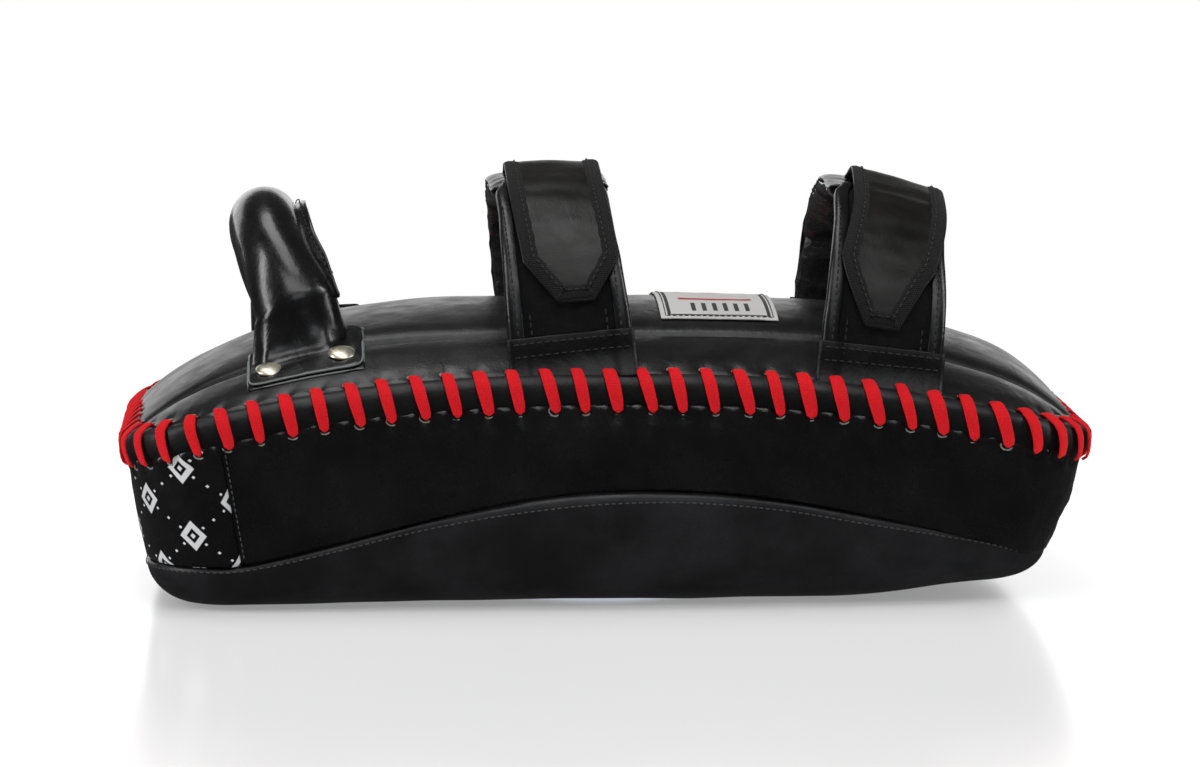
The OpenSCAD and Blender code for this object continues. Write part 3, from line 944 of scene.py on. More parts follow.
def back_relief(p):
    """Stuffed look of the back: soft waves, and the edges drawn down at the grooves."""
    waves = soft(p, 48, 1.1, 14) + soft((p.x * 0.5, p.y * 1.4, 0), 15, 0.28, 2)
    at_seam = abs(abs(p.y) - GROOVE_Y)
    pillow = -1.2 * hump(at_seam, 0, 8)
    full = (3.0 * hump(p.x, 173, 24) + 1.6 * hump(p.x, -176, 18)) * (1 - (p.y / half_width(p.x)) ** 2)
    full *= ease(HALF_L, HALF_L - 9, abs(p.x))
    return waves * ease(0, 12, at_seam) * 0.8 + pillow + full - 0.2


def seam_drop(p):
    """How deep the back's leather turns down at the long seams, more on the crown's side."""
    outside = abs(p.y) > GROOVE_Y
    deep, wide = (-2.6, 1.2) if outside else (-5.2, 2.5)
    return deep * hump(abs(abs(p.y) - GROOVE_Y), 0.3, wide)


def centre_panel():
    """The back's middle panel, turned down into the two long seams."""
    half = GROOVE_Y - GROOVE_HALF + 0.2
    near_seam = (0, 0.4, 0.9, 1.5, 2.2, 3.2, 4.5)
    across = [-half + v for v in near_seam] + steps(-half + 8, half - 8, 22)
    across += [half - v for v in near_seam[::-1]]
    rows = []
    for x in steps(-HALF_L + 1.2, HALF_L - 1.2, 170):
        rows.append([Vector((x, y, back_z(x, y) + seam_drop(Vector((x, y, 0))))) for y in across])
    build = Build()
    build.slab(rows, LEATHER, CENTRE, back_relief)
    return ride(build.object("back_centre_leather", BACK, "back_leather"), "pad", ["back_centre_panel"])


BAND_IN = 4.3


def border_relief(s, inset):
    """Pull of the lace holes near the back's edge, and the swelling between them."""
    hole = hump(to_hole(s), 0, 2.6)
    pull = -1.1 * hole * hump(inset, BAND_IN + 2.2, 3.2)
    ripple = 0.35 * noise.noise((s / 3.0, inset / 10, 7.0)) * math.exp(-max(0.0, inset - BAND_IN) / 7)
    return pull + ripple + 0.6 * ease(BAND_IN, 14, inset)


def back_border(side, name, node):
    """The back's leather between a long seam and the lace."""
    inner_x, inner_y = HALF_L - 5, -GROOVE_Y - GROOVE_HALF + 0.2
    start = END_RUN + 8
    levels = [0, 0.015, 0.035, 0.06, 0.1, 0.14, 0.19, 0.25, 0.32]
    levels += [0.4, 0.5, 0.6, 0.7, 0.8, 0.88, 0.94, 0.975, 1.0]
    count = 260
    rows = []
    for i in range(count + 1):
        t = i / count
        s = mix(start, HALF_RUN - start, t)
        rx, ry, nx, ny = rim(s)
        gone = min(BAND_IN, 0.5 * abs(ry - inner_y))
        ox, oy = rx - nx * gone, ry - ny * gone
        row = []
        for v in levels:
            x, y = mix(ox, mix(inner_x, -inner_x, t), v), mix(oy, inner_y, v)
            p = Vector((x, y, back_z(x, y)))
            inset = gone + v * abs(oy - inner_y)
            edge = -0.7 * hump(inset - gone, 0, 0.7)
            p.z += edge + seam_drop(p) + back_relief(p) + border_relief(s, inset)
            p.y *= -side
            row.append(p)
        rows.append(row)
    build = Build()
    build.slab(rows, LEATHER, CENTRE)
    return ride(build.object(name, BACK, "back_leather"), "pad", [node])


def lacing_flap():
    """The black band under the lace, from below the back's edge over the rim to the side."""
    plan = ((-9, -2.4), (-6.5, -1.5), (-4.6, -0.85), (-3.2, -0.3), (-1.6, -0.15), (-0.3, -0.5), (0.45, -1.5),
            (0.75, -2.8), (0.8, -4.6), (0.7, -6.6), (0.4, -8.4), (-0.4, -10.2), (-1.8, -12), (-2.6, -15))
    rows = []
    for s in ring_stops(4):
        x, y, nx, ny = rim(s)
        row = []
        for k, (out, up) in enumerate(plan):
            swell = -0.45 * math.cos(2 * math.pi * to_hole(s + LACE_SLANT * clamp(-up / 13)) / PITCH)
            swell += 0.3 * noise.noise((s / 5, up / 4, 0))
            swell *= hump(k, 7, 4)
            base = back_z(x + out * nx, y + out * ny) if out < -0.2 and up > -6 else rim_z(x)
            row.append(Vector((x + (out + swell) * nx, y + (out + swell) * ny, base + up)))
        rows.append(row)
    build = Build()
    build.slab(rows, 1.2, CENTRE, ring=True)
    ride(build.object("lacing_flap_leather", FLAP, "flap_leather"), "pad", ["lacing_flap"])


def foam_ring(inset_of, height_of, stops):
    """A loop inside the side leather."""
    found = []
    for s in stops:
        x = rim(s)[0]
        found.append(at_rim(s, inset_of(x), height_of(x)))
    return found


def foams():
    """The three stuffings, a little inside the leather all round."""
    stops = ring_stops(1)
    strike = Build()
    loops = []
    for t in (4, 20, 36, 52, 68, 82):
        loop = []
        for s in stops:
            p = face_point(s, t)
            nx, ny = rim(s)[2:]
            c = math.cos(math.radians(t))
            loop.append(Vector((p.x - nx * (4.5 * c + 1.5), p.y - ny * (4.5 * c + 1.5), p.z + 4.5 * (1 - c))))
        loops.append(loop)
    strike.tube(loops)
    core = Build()
    levels = [
        (lambda x, up=up: mix(seam_z(x) + 1.5, rim_z(x) - 24, up)) for up in (0, 0.2, 0.4, 0.6, 0.8, 1.0)
    ]
    core.tube([
        foam_ring(lambda x, z=z: side_inset(x, z(x)) + 7, z, stops) for z in levels
    ])
    crown = Build()
    loops = [foam_ring(lambda x: 8, lambda x: rim_z(x) - 22, stops)]
    for inward in (0, 0.25, 0.5, 0.75):
        loop = []
        for p in foam_ring(lambda x: 8, lambda x: 0, stops):
            x, y = p.x * mix(1, 0.9, inward), p.y * (1 - inward)
            loop.append(Vector((x, y, back_z(x, y) - 6.5)))
        loops.append(loop)
    crown.tube(loops)
    for build, name, node in (
        (strike, "strike_foam", "foam_strike_layer"),
        (core, "core_foam", "foam_core_layer"),
        (crown, "crown_foam", "foam_back_crown"),
    ):
        ride(build.object(name, FOAM, "foam"), "pad", [node])


# ---- Stitching ----


def stitch(build, a, b, up, wide=0.42, high=0.3):
    """One sewn stitch: a small raised dash of thread from a to b."""
    along = (b - a).normalized()
    side = along.cross(up).normalized()
    loops = []
    for f, swell in ((0, 0.25), (0.12, 0.8), (0.5, 1.0), (0.88, 0.8), (1, 0.25)):
        centre = a.lerp(b, f) + up * high * (swell - 0.6)
        loops.append(oval(centre, side * wide * swell, up * high * swell, 6))
    build.tube(loops)


def stitch_line(build, points, ups, pitch=2.6, fill=0.72, wide=0.42, high=0.3):
    """Dashes of thread along a line of points with outward directions."""
    covered = lengths(points)
    count = max(1, int(covered[-1] / pitch))

    def place(d):
        for k in range(len(points) - 1):
            if d <= covered[k + 1] or k == len(points) - 2:
                f = (d - covered[k]) / max(1e-6, covered[k + 1] - covered[k])
                return points[k].lerp(points[k + 1], f), ups[k]

    for k in range(count):
        a, up = place((k + 0.5 - fill / 2) * covered[-1] / count)
        b = place((k + 0.5 + fill / 2) * covered[-1] / count)[0]
        stitch(build, a, b, up, wide, high)


def body_seams():
    """Thread along the strike face's seam and beside the printed panel's seams."""
    build = Build()
    points, ups = [], []
    for s in steps(0, 2 * HALF_RUN, 500):
        nx, ny = rim(s)[2:]
        p = face_point(s, 5.5)
        out = Vector((nx, ny, -0.1)).normalized()
        points.append(p + out * (face_relief(p) + 0.1))
        ups.append(out)
    stitch_line(build, points, ups, 2.7, 0.66, 0.36, 0.3)
    for base, lean in ((PRINT_S, PRINT_LEAN), (2 * HALF_RUN - PRINT_S, -PRINT_LEAN)):
        beside = base - math.copysign(1.9, lean)
        points, ups = [], []
        for level in steps(0.05, 0.95, 14):
            s = beside + lean * level
            x, _, nx, ny = rim(s)
            z = mix(seam_z(x) + 0.7, side_top(s), level)
            out = side_relief(Vector((x, 0, z)), s)
            points.append(at_rim(s, side_inset(x, z) - out - 0.15, z))
            ups.append(Vector((nx, ny, 0)))
        stitch_line(build, points, ups, 2.4, 0.7, 0.3, 0.25)
    ride(build.object("body_seam_thread", GREY_THREAD, "face_leather"), "pad")


# ---- Lacing ----


def lace_path(s, slip, bulge):
    """Centre line of one stitch from its hole in the back, over the rim, to its lower hole,
    with the outward direction at each point."""
    plan = [
        (-6.4, -1.8, 0.0, (-0.7, 0.7)), (-6.1, -0.5, 0.0, (-0.6, 0.8)), (-5.4, 0.7, 0.03, (-0.3, 0.95)),
        (-4.1, 1.3, 0.1, (0, 1)), (-2.2, 1.4, 0.2, (0.2, 0.98)), (-0.2, 0.9, 0.3, (0.5, 0.85)),
        (1.3, -0.3, 0.4, (0.85, 0.5)), (2.0 + bulge, -2.5, 0.52, (1, 0.12)),
        (2.2 + bulge, -5.2, 0.66, (1, 0)), (2.0 + bulge * 0.7, -8.0, 0.82, (1, -0.05)),
        (1.6, -10.4, 0.94, (0.95, -0.2)), (0.8, -12.3, 1.0, (0.85, -0.5)), (-0.9, -13.4, 1.02, (0.6, -0.8)),
    ]
    found = []
    for out, up, lean, direction in plan:
        sp = s - lean * (LACE_SLANT + slip)
        x, y, nx, ny = rim(sp)
        base = back_z(x + out * nx, y + out * ny) if out < 0 and up > -8 else rim_z(x)
        p = Vector((x + out * nx, y + out * ny, base + up))
        n = Vector((nx * direction[0], ny * direction[0], direction[1])).normalized()
        found.append((p, n, Vector((-ny, nx, 0))))
    return found


def edge_lace():
    """Flat red lace sewn over the rim, each stitch a little different."""
    build, rims = Build(), Build()
    for k in range(STITCHES):
        s = (k + LACE_START) * PITCH
        slip, bulge = rng.uniform(-0.3, 1.2), rng.uniform(0.0, 0.7)
        wide = 2.7 + rng.uniform(-0.25, 0.25)
        path = lace_path(s + rng.uniform(-0.25, 0.25), slip, bulge)
        loops = []
        for i, (p, n, side) in enumerate(path):
            f = i / (len(path) - 1)
            w = wide * (0.34 + 0.66 * math.sin(math.pi * clamp(0.07 + 0.84 * f)) ** 0.7)
            if i in (0, len(path) - 1):
                w *= 0.45
            thick = 0.6
            loops.append([
                p + side * w * math.cos(q) * (1 + 0.06 * noise.noise((k * 9.1, f * 4, q)))
                + n * thick * math.sin(q) * (1.2 if abs(math.sin(q)) < 0.8 else 1.0)
                for q in turn(14)
            ])
        build.tube(loops)
        # Pale rims round both holes: raw edge and painted highlight.
        hole_rim(rims, *back_hole(s), 1.95, 1.6)
        hole_rim(rims, *side_hole(s - LACE_SLANT - slip), 2.6, 2.1)
    lace = build.object("red_edge_lace", LACE, "lace")
    ride(lace, "pad", ["edge_lace"])
    ride(rims.object("lace_hole_edges_and_highlights", RAW_EDGE_PAINTED_HIGHLIGHT, "flap_leather"), "pad")


def back_hole(s):
    """Place, outward direction and side direction of a lace hole in the back's border."""
    x, y, nx, ny = rim(s)
    inset = BAND_IN + 3.1
    p = Vector((x - inset * nx, y - inset * ny, 0))
    p.z = back_z(p.x, p.y) + back_relief(p) + border_relief(s, inset) + 0.1
    return p, Vector((nx * 0.25, ny * 0.25, 1)).normalized(), Vector((-ny, nx, 0))


def side_hole(s):
    """The same for a lace hole in the side leather."""
    x, y, nx, ny = rim(s)
    z = rim_z(x) - SIDE_DROP - 2.1
    p = at_rim(s, side_inset(x, z) - side_relief(Vector((x, 0, z)), s) - 0.1, z)
    return p, Vector((nx, ny, 0.1)).normalized(), Vector((-ny, nx, 0))


def hole_rim(build, centre, n, side, wide, high):
    """Pale ring round a punched lace hole, raw edge and painted highlight, wide along the rim and high across
    it.
    """
    along = n.cross(side).normalized()
    loops = []
    for middle, out in zip(oval(centre, side * wide, along * high, 14), oval(Vector(), side, along, 14)):
        loops.append(oval(middle, out * 0.42, n * 0.42, 6))
    build.tube(loops, ring=True)


# ---- Label ----


def woven_label():
    """The label over the crown, and the thread round its edge."""
    low, high = cad("woven_label")
    inset = 0.4
    rows = []
    for x in steps(low.x + inset, high.x - inset, 24):
        row = []
        for y in steps(low.y + inset, high.y - inset, 44):
            p = Vector((x, y, back_z(x, y) + 1.2))
            row.append(p + Vector((0, 0, back_relief(p) + 0.15 * noise.noise(p / 5))))
        rows.append(row)
    build = Build()
    build.slab(rows, 0.8, CENTRE)
    ride(build.object("label_woven", LABEL, "label"), "pad", ["woven_label"])
    lift = Build()
    edges = ((low.x + 2, low.x + 2, low.y + 2, high.y - 2), (high.x - 2, high.x - 2, low.y + 2, high.y - 2),
             (low.x + 2, high.x - 2, low.y + 2, low.y + 2), (low.x + 2, high.x - 2, high.y - 2, high.y - 2))
    for x0, x1, y0, y1 in edges:
        points = []
        for f in steps(0, 1, 20):
            x, y = mix(x0, x1, f), mix(y0, y1, f)
            p = Vector((x, y, back_z(x, y) + 1.2))
            points.append(p + Vector((0, 0, back_relief(p) + 0.1)))
        stitch_line(lift, points, [Vector((0, 0, 1))] * len(points), 2.4, 0.7, 0.25, 0.2)
    ride(lift.object("label_thread", THREAD, "label"), "pad")


# ---- Handle ----

PIVOT = Vector(JOINTS["handle_flex"]["pos_m"]) / MM
LEAN = Matrix.Translation(PIVOT) @ Matrix.Rotation(math.radians(-22), 4, "Y")
ARCH_R, ARCH_DROP, GRIP_R = 51.0, 7.3, 14.0
TAB_HALF_X, TAB_MID_Y, TAB_HALF_Y = 22.75, 62.0, 18.0
FOOT = 20.0
GRIP_POINTS = 48


def on_handle(piece, nodes=()):
    """Bakes a piece of the grip into place and hides those nodes."""
    return bend(piece, nodes)


def foot_widening(theta):
    """0 over the grip, 1 at its feet, where the leather flares towards the tabs."""
    return ease(56, 6, min(theta, 180 - theta))


def grip_side(theta):
    """How far the grip reaches towards +X."""
    return GRIP_R * (1 + 0.32 * foot_widening(theta))


def on_arch(theta, x, out):
    """A point beside the arch. Both legs bow a little towards -X, the far one more."""
    t = math.radians(theta)
    pull = 4.5 * max(0.0, math.sin(2 * t)) + 0.5 * ease(0.2, 0.8, abs(math.cos(t)))
    return LEAN @ Vector((x - pull, out * math.cos(t), out * math.sin(t) - ARCH_DROP))


def arch_point(theta, phi, radius):
    """A point of the grip: theta along the arch from the far foot, phi round the section
    from its outer side towards +X."""
    p = math.radians(phi)
    across = radius * math.sin(p) * (1 + 0.32 * foot_widening(theta))
    return on_arch(theta, across, ARCH_R + radius * math.cos(p))


def boxy(v, power):
    """A sine or cosine turned into a rounded box's."""
    return math.copysign(abs(v) ** (2 / power), v)


def tab_outline(side, phi, grow=0.0):
    """Plan outline of the leather tab under one foot."""
    p = math.radians(phi)
    x = PIVOT.x + (TAB_HALF_X + grow) * boxy(math.sin(p), 9)
    y = side * (TAB_MID_Y + (TAB_HALF_Y + grow) * boxy(math.cos(p), 9))
    return x, y


def on_back(x, y, lift):
    """A point over the back's leather."""
    p = Vector((x, y, back_z(x, y)))
    return Vector((x, y, p.z + back_relief(p) + lift))


def neck_loops(side):
    """From the end of the grip down to the edge of its tab."""
    theta = FOOT if side > 0 else 180 - FOOT
    phis = [360 * k / GRIP_POINTS for k in range(GRIP_POINTS)]
    loops = []
    for k in steps(0, 1, 26)[1:]:
        down = math.sin(math.pi / 2 * min(1, k / 0.62))
        out = 0.34 * (k / 0.62) ** 2.1 if k < 0.62 else mix(0.34, 1, (k - 0.62) / 0.38)
        loop = []
        for phi in phis:
            top = arch_point(theta, phi, GRIP_R)
            x, y = tab_outline(side, phi)
            front = max(0.0, math.cos(math.radians(phi)))
            sideways = abs(math.sin(math.radians(phi)))
            wide = clamp(out + 0.22 * sideways * math.sin(math.pi * min(1, k / 0.8)) * (1 - out))
            px, py = mix(top.x, x, wide), mix(top.y, y, out)
            around = (phi + 180) % 360 - 180
            ridge = hump(abs(around), 38, 13) * hump(k, 0.42, 0.16)
            hollow = hump(around, 0, 20) * hump(k, 0.42, 0.2)
            p = Vector((px, py, mix(top.z, on_back(px, py, 2.6).z, down)))
            p.y += side * (1.5 * ridge - 1.5 * hollow) * front
            p += Vector((0, side, 0)) * soft(p, 9, 0.25, 4)
            loop.append(p)
        loops.append(loop)
    for grow, lift in ((0.3, 2.3), (0.35, 1.8), (0.1, 1.45)):
        loops.append([on_back(*tab_outline(side, phi, grow), lift) for phi in phis])
    return loops


def grip():
    """The handle's leather: one skin from tab to tab over the arch."""
    phis = [360 * k / GRIP_POINTS for k in range(GRIP_POINTS)]
    arch = []
    for theta in steps(FOOT, 180 - FOOT, 70):
        loop = []
        for phi in phis:
            p = arch_point(theta, phi, GRIP_R - 0.2)
            crease = soft((p.x * 0.6, p.y, p.z), 22, 0.4, 6) + soft(p, 7, 0.06, 1)
            loop.append(arch_point(theta, phi, GRIP_R - 0.3 + crease))
        arch.append(loop)
    build = Build()
    build.tube(neck_loops(1)[::-1] + arch + neck_loops(-1))
    piece = build.object("handle_grip_leather", GRIP, "grip_leather")
    on_handle(piece, ["handle_cover"])


def handle_tabs():
    """The lower leather layer of each tab, its pale cut edges and the four rivets."""
    lines = Build()
    for side, name in ((-1, "near"), (1, "far")):
        build = Build()
        rows = []
        for f in steps(0, 1, 12):
            y = side * mix(TAB_MID_Y - TAB_HALF_Y + 0.6, TAB_MID_Y + TAB_HALF_Y + 0.5, f)
            half = TAB_HALF_X + 0.2
            rows.append([on_back(PIVOT.x + x, y, 1.35) for x in steps(-half, half, 20)])
        build.slab(rows, 1.2, CENTRE)
        ride(build.object("handle_tab_" + name, GRIP, "grip_leather"), "pad", ["handle_base_" + name])
        for grow, lift in ((0.1, 2.35), (0.55, 0.9)):
            loops = []
            for phi in steps(-97, 97, 90):
                p = on_back(*tab_outline(side, phi, grow), lift)
                out = Vector((math.sin(math.radians(phi)), side * math.cos(math.radians(phi)), 0))
                loops.append(oval(p, out * 0.42, Vector((0, 0, 0.42)), 8))
            lines.tube(loops)
    ride(lines.object("handle_tab_cut_edges", PALE_THREAD, "grip_leather"), "pad")
    rivets()


def rivets():
    """Domes over the tabs. Their washers are the CAD's own."""
    low, high = cad("handle_rivets")
    build = Build()
    for side in (-1, 1):
        for x in (low.x + 5.75, high.x - 5.75):
            y = side * 70.0
            centre = on_back(x, y, 2.55)
            slope = math.atan((back_z(x, 69) - back_z(x, 71)) / 2)
            place = Matrix.Translation(centre) @ Matrix.Rotation(-side * slope, 4, "X")
            loops = []
            for r, z in ((2.0, -8), (2.0, -0.4), (5.2, -0.4), (5.75, 0.0), (5.7, 0.35), (5.2, 0.8),
                         (4.3, 1.25), (3.1, 1.6), (1.8, 1.8), (0.7, 1.86)):
                middle = Vector((0, 0, z))
                loops.append([place @ p for p in oval(middle, Vector((r, 0, 0)), Vector((0, r, 0)), 32)])
            build.tube(loops)
    ride(build.object("rivet_domes", METAL, "rivet_metal"), "pad", ["handle_rivets"])
    frame["nodes"]["rivet_washers"].data.materials.clear()
    frame["nodes"]["rivet_washers"].data.materials.append(METAL)


def flange():
    """Two leather edges sewn together along the grip's +X side."""
    build, sewing = Build(), Build()
    middle = Vector(LEAN @ Vector((18, 0, 0)))
    for layer in (-1, 1):
        rows = []
        for theta in steps(17, 163, 80):
            taper = ease(14, 42, min(theta, 180 - theta))
            beside = grip_side(theta)
            row = []
            for f in steps(0, 1, 7):
                x = beside + mix(-2.5, 3.6 * taper, f)
                out = ARCH_R + layer * (1.05 + 0.5 * f * f) + soft((theta * 0.8, x, layer * 9), 6, 0.3, 3)
                out += 1.5 * (1 - taper)
                row.append(on_arch(theta, x, out))
            rows.append(row)
        build.slab(rows, 1.25, middle)
        points, ups = [], []
        for theta in steps(24, 156, 60):
            t = math.radians(theta)
            out = ARCH_R + layer * 1.75 + 0.6 * layer
            radial = Vector((0, math.cos(t), math.sin(t))) * layer
            x = grip_side(theta) + 2.0 * ease(14, 42, min(theta, 180 - theta))
            points.append(on_arch(theta, x, out))
            ups.append((LEAN.to_3x3() @ radial).normalized())
        stitch_line(sewing, points, ups, 3.0, 0.7, 0.35, 0.25)
    on_handle(build.object("handle_sewn_flange", GRIP, "grip_leather"), ["handle_flange"])
    on_handle(sewing.object("handle_flange_thread", THREAD, "grip_leather"))


def handle_core():
    """The stuffing inside the grip."""
    build = Build()
    build.tube([
        [arch_point(theta, 360 * k / 20, 9.0) for k in range(20)] for theta in steps(18, 162, 36)
    ])
    ride(build.object("grip_core", FOAM, "foam"), "handle", ["handle_core"])


# ---- Straps ----
# Each strap is built in its own frame: X across it, Y across the pad, Z up from its hinges.

HINGE_Y, LOOP_HEIGHT, LOOP_POWER, HINGE_LIFT = 86.0, 67.6, 2.2, 10.4
TAB_ANGLE, NEAR_END = 110.0, 113.0
TAB_HALF, TAB_POINT, SAG = 19.2, 6.6, 6.2
CUFF_SQUARENESS = 2.7


# Sections of the tapes folded round the edges: in from the edge and up, or across and up
FOLDED_TAPE = (
    (6.0, 0.95), (4.2, 1.3), (2.0, 1.35), (0.5, 0.9), (-0.15, 0.1), (0.3, -0.8), (2, -1.25), (4.2, -1.2),
)
FOLDED_PIPING = (
    (18.6, 2.5), (20.2, 2.75), (22.2, 2.75), (23.7, 2.3), (24.5, 1.2),
    (24.7, -0.2), (24.4, -1.6), (23.4, -2.5), (21.4, -2.8), (19.4, -2.5),
)


def loop_point(a, d):
    """y, z and the outward direction of the loop at an angle, moved out by d."""
    c, s = math.cos(math.radians(a)), max(0.0, math.sin(math.radians(a)))
    y = HINGE_Y * boxy(c, LOOP_POWER)
    z = LOOP_HEIGHT * s ** (2 / LOOP_POWER)
    gy = math.copysign((abs(y) / HINGE_Y) ** (LOOP_POWER - 1) / HINGE_Y, y)
    gz = (z / LOOP_HEIGHT) ** (LOOP_POWER - 1) / LOOP_HEIGHT
    n = Vector((0, gy, gz)).normalized()
    return Vector((0, y, z)) + n * d, n


def cuff_sag(p):
    """How far the soft cuff hangs inside the loop's line at a point."""
    return SAG * ease(76, 36, p.y) * ease(-48, -20, p.y)


def near_width(p):
    """Share of the near half's width at a point: it narrows upwards to rounded corners."""
    return 1 - 0.08 * ease(12, 58, p.z) - 0.12 * ease(58.5, 62.7, p.z) ** 2


class Askew:
    """A strap's place on the pad. skew shifts its near and its far end along X, and twist
    lowers its +X side."""

    def __init__(self, x, tilt, skew, twist):
        turn = Matrix.Rotation(math.radians(tilt), 4, "Y")
        self.matrix = Matrix.Translation((x, 0, rim_z(x) + HINGE_LIFT)) @ turn
        self.skew, self.twist = skew, twist

    def __matmul__(self, p):
        along = p.x + mix(*self.skew, (p.y / HINGE_Y + 1) / 2)
        return self.matrix @ Vector((along, p.y, p.z * (1 - self.twist * p.x)))

    def to_3x3(self):
        return self.matrix.to_3x3()


class Strap:
    """One strap of the pair: its place on the pad and the names of its pieces."""

    def __init__(self, name, tilt, skew, twist, tip_angle, shoulder, shifts, seed):
        self.name, self.tip_angle, self.shifts, self.seed = name, tip_angle, shifts, seed
        self.shoulder = shoulder
        x = JOINTS[name + "_near_open"]["pos_m"][0] / MM
        self.place = Askew(x, tilt, skew, twist)

    def line(self, first, last, count, d, foot=()):
        """Points and outward directions along the loop, with extra ones below the hinge."""
        side = 1 if first < 90 else -1
        found = [(Vector((0, side * (HINGE_Y + out) + side * d, z)), Vector((0, side, 0))) for out, z in foot]
        found += [loop_point(a, d) for a in steps(first, last, count)]
        return found

    def sheet(self, build, line, xs, thick, relief=None):
        """A sheet along a line, over the places xs(point) across the strap."""
        rows = [[p + Vector((x, 0, 0)) for x in xs(p)] for p, n in line]
        build.slab(rows, thick, Vector((0, 0, 20)), relief, at=self.place)

    def hinged(self, piece, nodes=()):
        """Bakes a piece of the strap into place and hides those nodes of this strap."""
        bend(piece, [self.name + "_" + n for n in nodes])

    def stitches(self, build, line, x, first=0, last=None, pitch=3.0, wide=0.36):
        part = line[first:last]
        points = [self.place @ (p + Vector((x, 0, 0))) for p, _ in part]
        ups = [(self.place.to_3x3() @ n).normalized() for _, n in part]
        stitch_line(build, points, ups, pitch, 0.68, wide, 0.28)

    # -- near half --

    def near_line(self, count, d, last=NEAR_END):
        """The near half's line from its foot in the rim up to its rounded end."""
        return self.line(180, last, count, d, ((1.5, -9.5), (0.8, -7), (0.3, -4.5), (0.05, -2.2)))

    def near_layer(self, count, d, half, places, thick, relief):
        """One layer of the near half, d out from the loop's line and half as wide."""
        build = Build()

        def across(p):
            return steps(-half * near_width(p), half * near_width(p), places)

        self.sheet(build, self.near_line(count, d), across, thick, relief)
        return build

    def near_piping(self, side):
        """Section rows of the leather folded round one edge of the near half."""
        rows = []
        for p, n in self.near_line(52, 0.0):
            row, narrow = [], near_width(p)
            wave = soft((side * 9, p.y * 0.6, p.z * 0.6), 9, 0.35, self.seed)
            for x, d in FOLDED_PIPING:
                row.append(p + n * d + Vector((side * (x * narrow + wave), 0, 0)))
            rows.append(row)
        return rows

    def near_half(self):
        """Webbing for the tab to hold on to, its backing, its bound edges and their thread."""
        binding, sewing = Build(), Build()
        webbing = self.near_layer(
            52, 1.6, 23.4, 34, 1.7, lambda p: soft(p, 3.2, 0.22, self.seed) + soft(p, 17, 0.5, self.seed + 2)
        )
        backing = self.near_layer(46, -0.4, 22.6, 18, 1.5, lambda p: soft(p, 14, 0.3, self.seed + 5))
        centre = self.near_line(52, 0.0)[20][0]
        for side in (-1, 1):
            binding.slab(self.near_piping(side), 0.85, centre + Vector((side * 20, 0, 0)), at=self.place)
            self.stitches(sewing, self.near_line(46, 3.15, 128), side * 20.6, 2)
            self.stitches(sewing, self.near_line(52, 2.2), side * 15.2, 2, 14)
        for z in (-0.2, 4.6):
            p, n = self.near_face(z, 4.05)
            points = [self.place @ (p + Vector((x, self.base_dip(x), 0))) for x in steps(-23.5, 23.5, 30)]
            stitch_line(sewing, points, [n] * len(points), 3.1, 0.66, 0.36, 0.28)
        for build, ending, material, slot, nodes in (
            (webbing, "_loop_webbing", LOOPS, "webbing", ["webbing"]),
            (backing, "_webbing_backing", CUFF, "cuff_leather", ["backing"]),
            (binding, "_webbing_binding", PIPING, "binding_tape", ["binding"]),
            (sewing, "_webbing_thread", THREAD, "webbing", []),
        ):
            self.hinged(build.object(self.name + ending, material, slot), nodes)

    def near_face(self, z, d):
        """A point of the near half's outer face at height z over the hinge."""
        if z <= 0:
            return Vector((0, -HINGE_Y - d, z)), Vector((0, -1, 0))
        a = 180 - math.degrees(math.asin((z / LOOP_HEIGHT) ** (LOOP_POWER / 2)))
        return loop_point(a, d)

    def base_dip(self, x):
        """How far the patch sinks between the webbing's bound edges and past its own ends."""
        return 1.0 * ease(19, 15.5, abs(x)) + 1.2 * ease(24.0, 25.6, abs(x))

    def base(self, side, other, node):
        """The wider leather patch that is laced in with the rim."""
        plan = (
            (7.6, -11.4), (6.6, -9.6), (5.3, -7.2), (4.2, -4.6),
            (3.6, -2), (3.4, 0.6), (3.3, 3.2), (3.0, 6.6),
        )
        rows = []
        for out, z in plan:
            row = []
            for x in steps(-25.4, 25.4, 40):
                y = side * (HINGE_Y + out + 0.2 - self.base_dip(x))
                row.append(Vector((x, y, z + 0.4 * noise.noise((x / 5, side, 0)))))
            rows.append(row)
        build = Build()
        build.slab(rows, 1.1, Vector((0, 0, 0)), lambda p: soft(p, 8, 0.3, self.seed + 7), at=self.place)
        end = "near" if side < 0 else "far"
        piece = build.object(self.name + "_laced_base_" + end, BASE, "cuff_leather")
        self.hinged(piece, [node])

    # -- cuff --

    def cuff_rows(self, share, upper, first, last, count):
        """Rows that wrap over one face of the padded cuff and round its two edges."""
        foot = ((0.6, -9.5), (0.3, -7), (0.1, -4.5), (0.0, -2.2))
        rows = []
        for p, n in self.line(first, last, count, 0.0, foot):
            row, p = [], p - n * cuff_sag(p)
            for w in steps(172, 8, 30) if upper else steps(-172, -8, 30):
                c, s = math.cos(math.radians(w)), math.sin(math.radians(w))
                beside = Vector((24.2 * share * boxy(c, CUFF_SQUARENESS), 0, 0))
                row.append(p + beside + n * 4.1 * share * boxy(s, CUFF_SQUARENESS))
            rows.append(row)
        return rows

    def crumple(self, amount, size):
        def relief(p):
            q = Vector((p.x * 0.4, p.y, p.z))
            folds = 1 - 2.4 * abs(noise.noise(q / size + Vector((self.seed, 0, 3))))
            broad = noise.noise(Vector((p.x * 0.7, p.y, p.z)) / (size * 2.2) + Vector((0, self.seed, 1)))
            return amount * (0.55 * folds + 0.9 * broad) - 0.3 * amount

        return relief

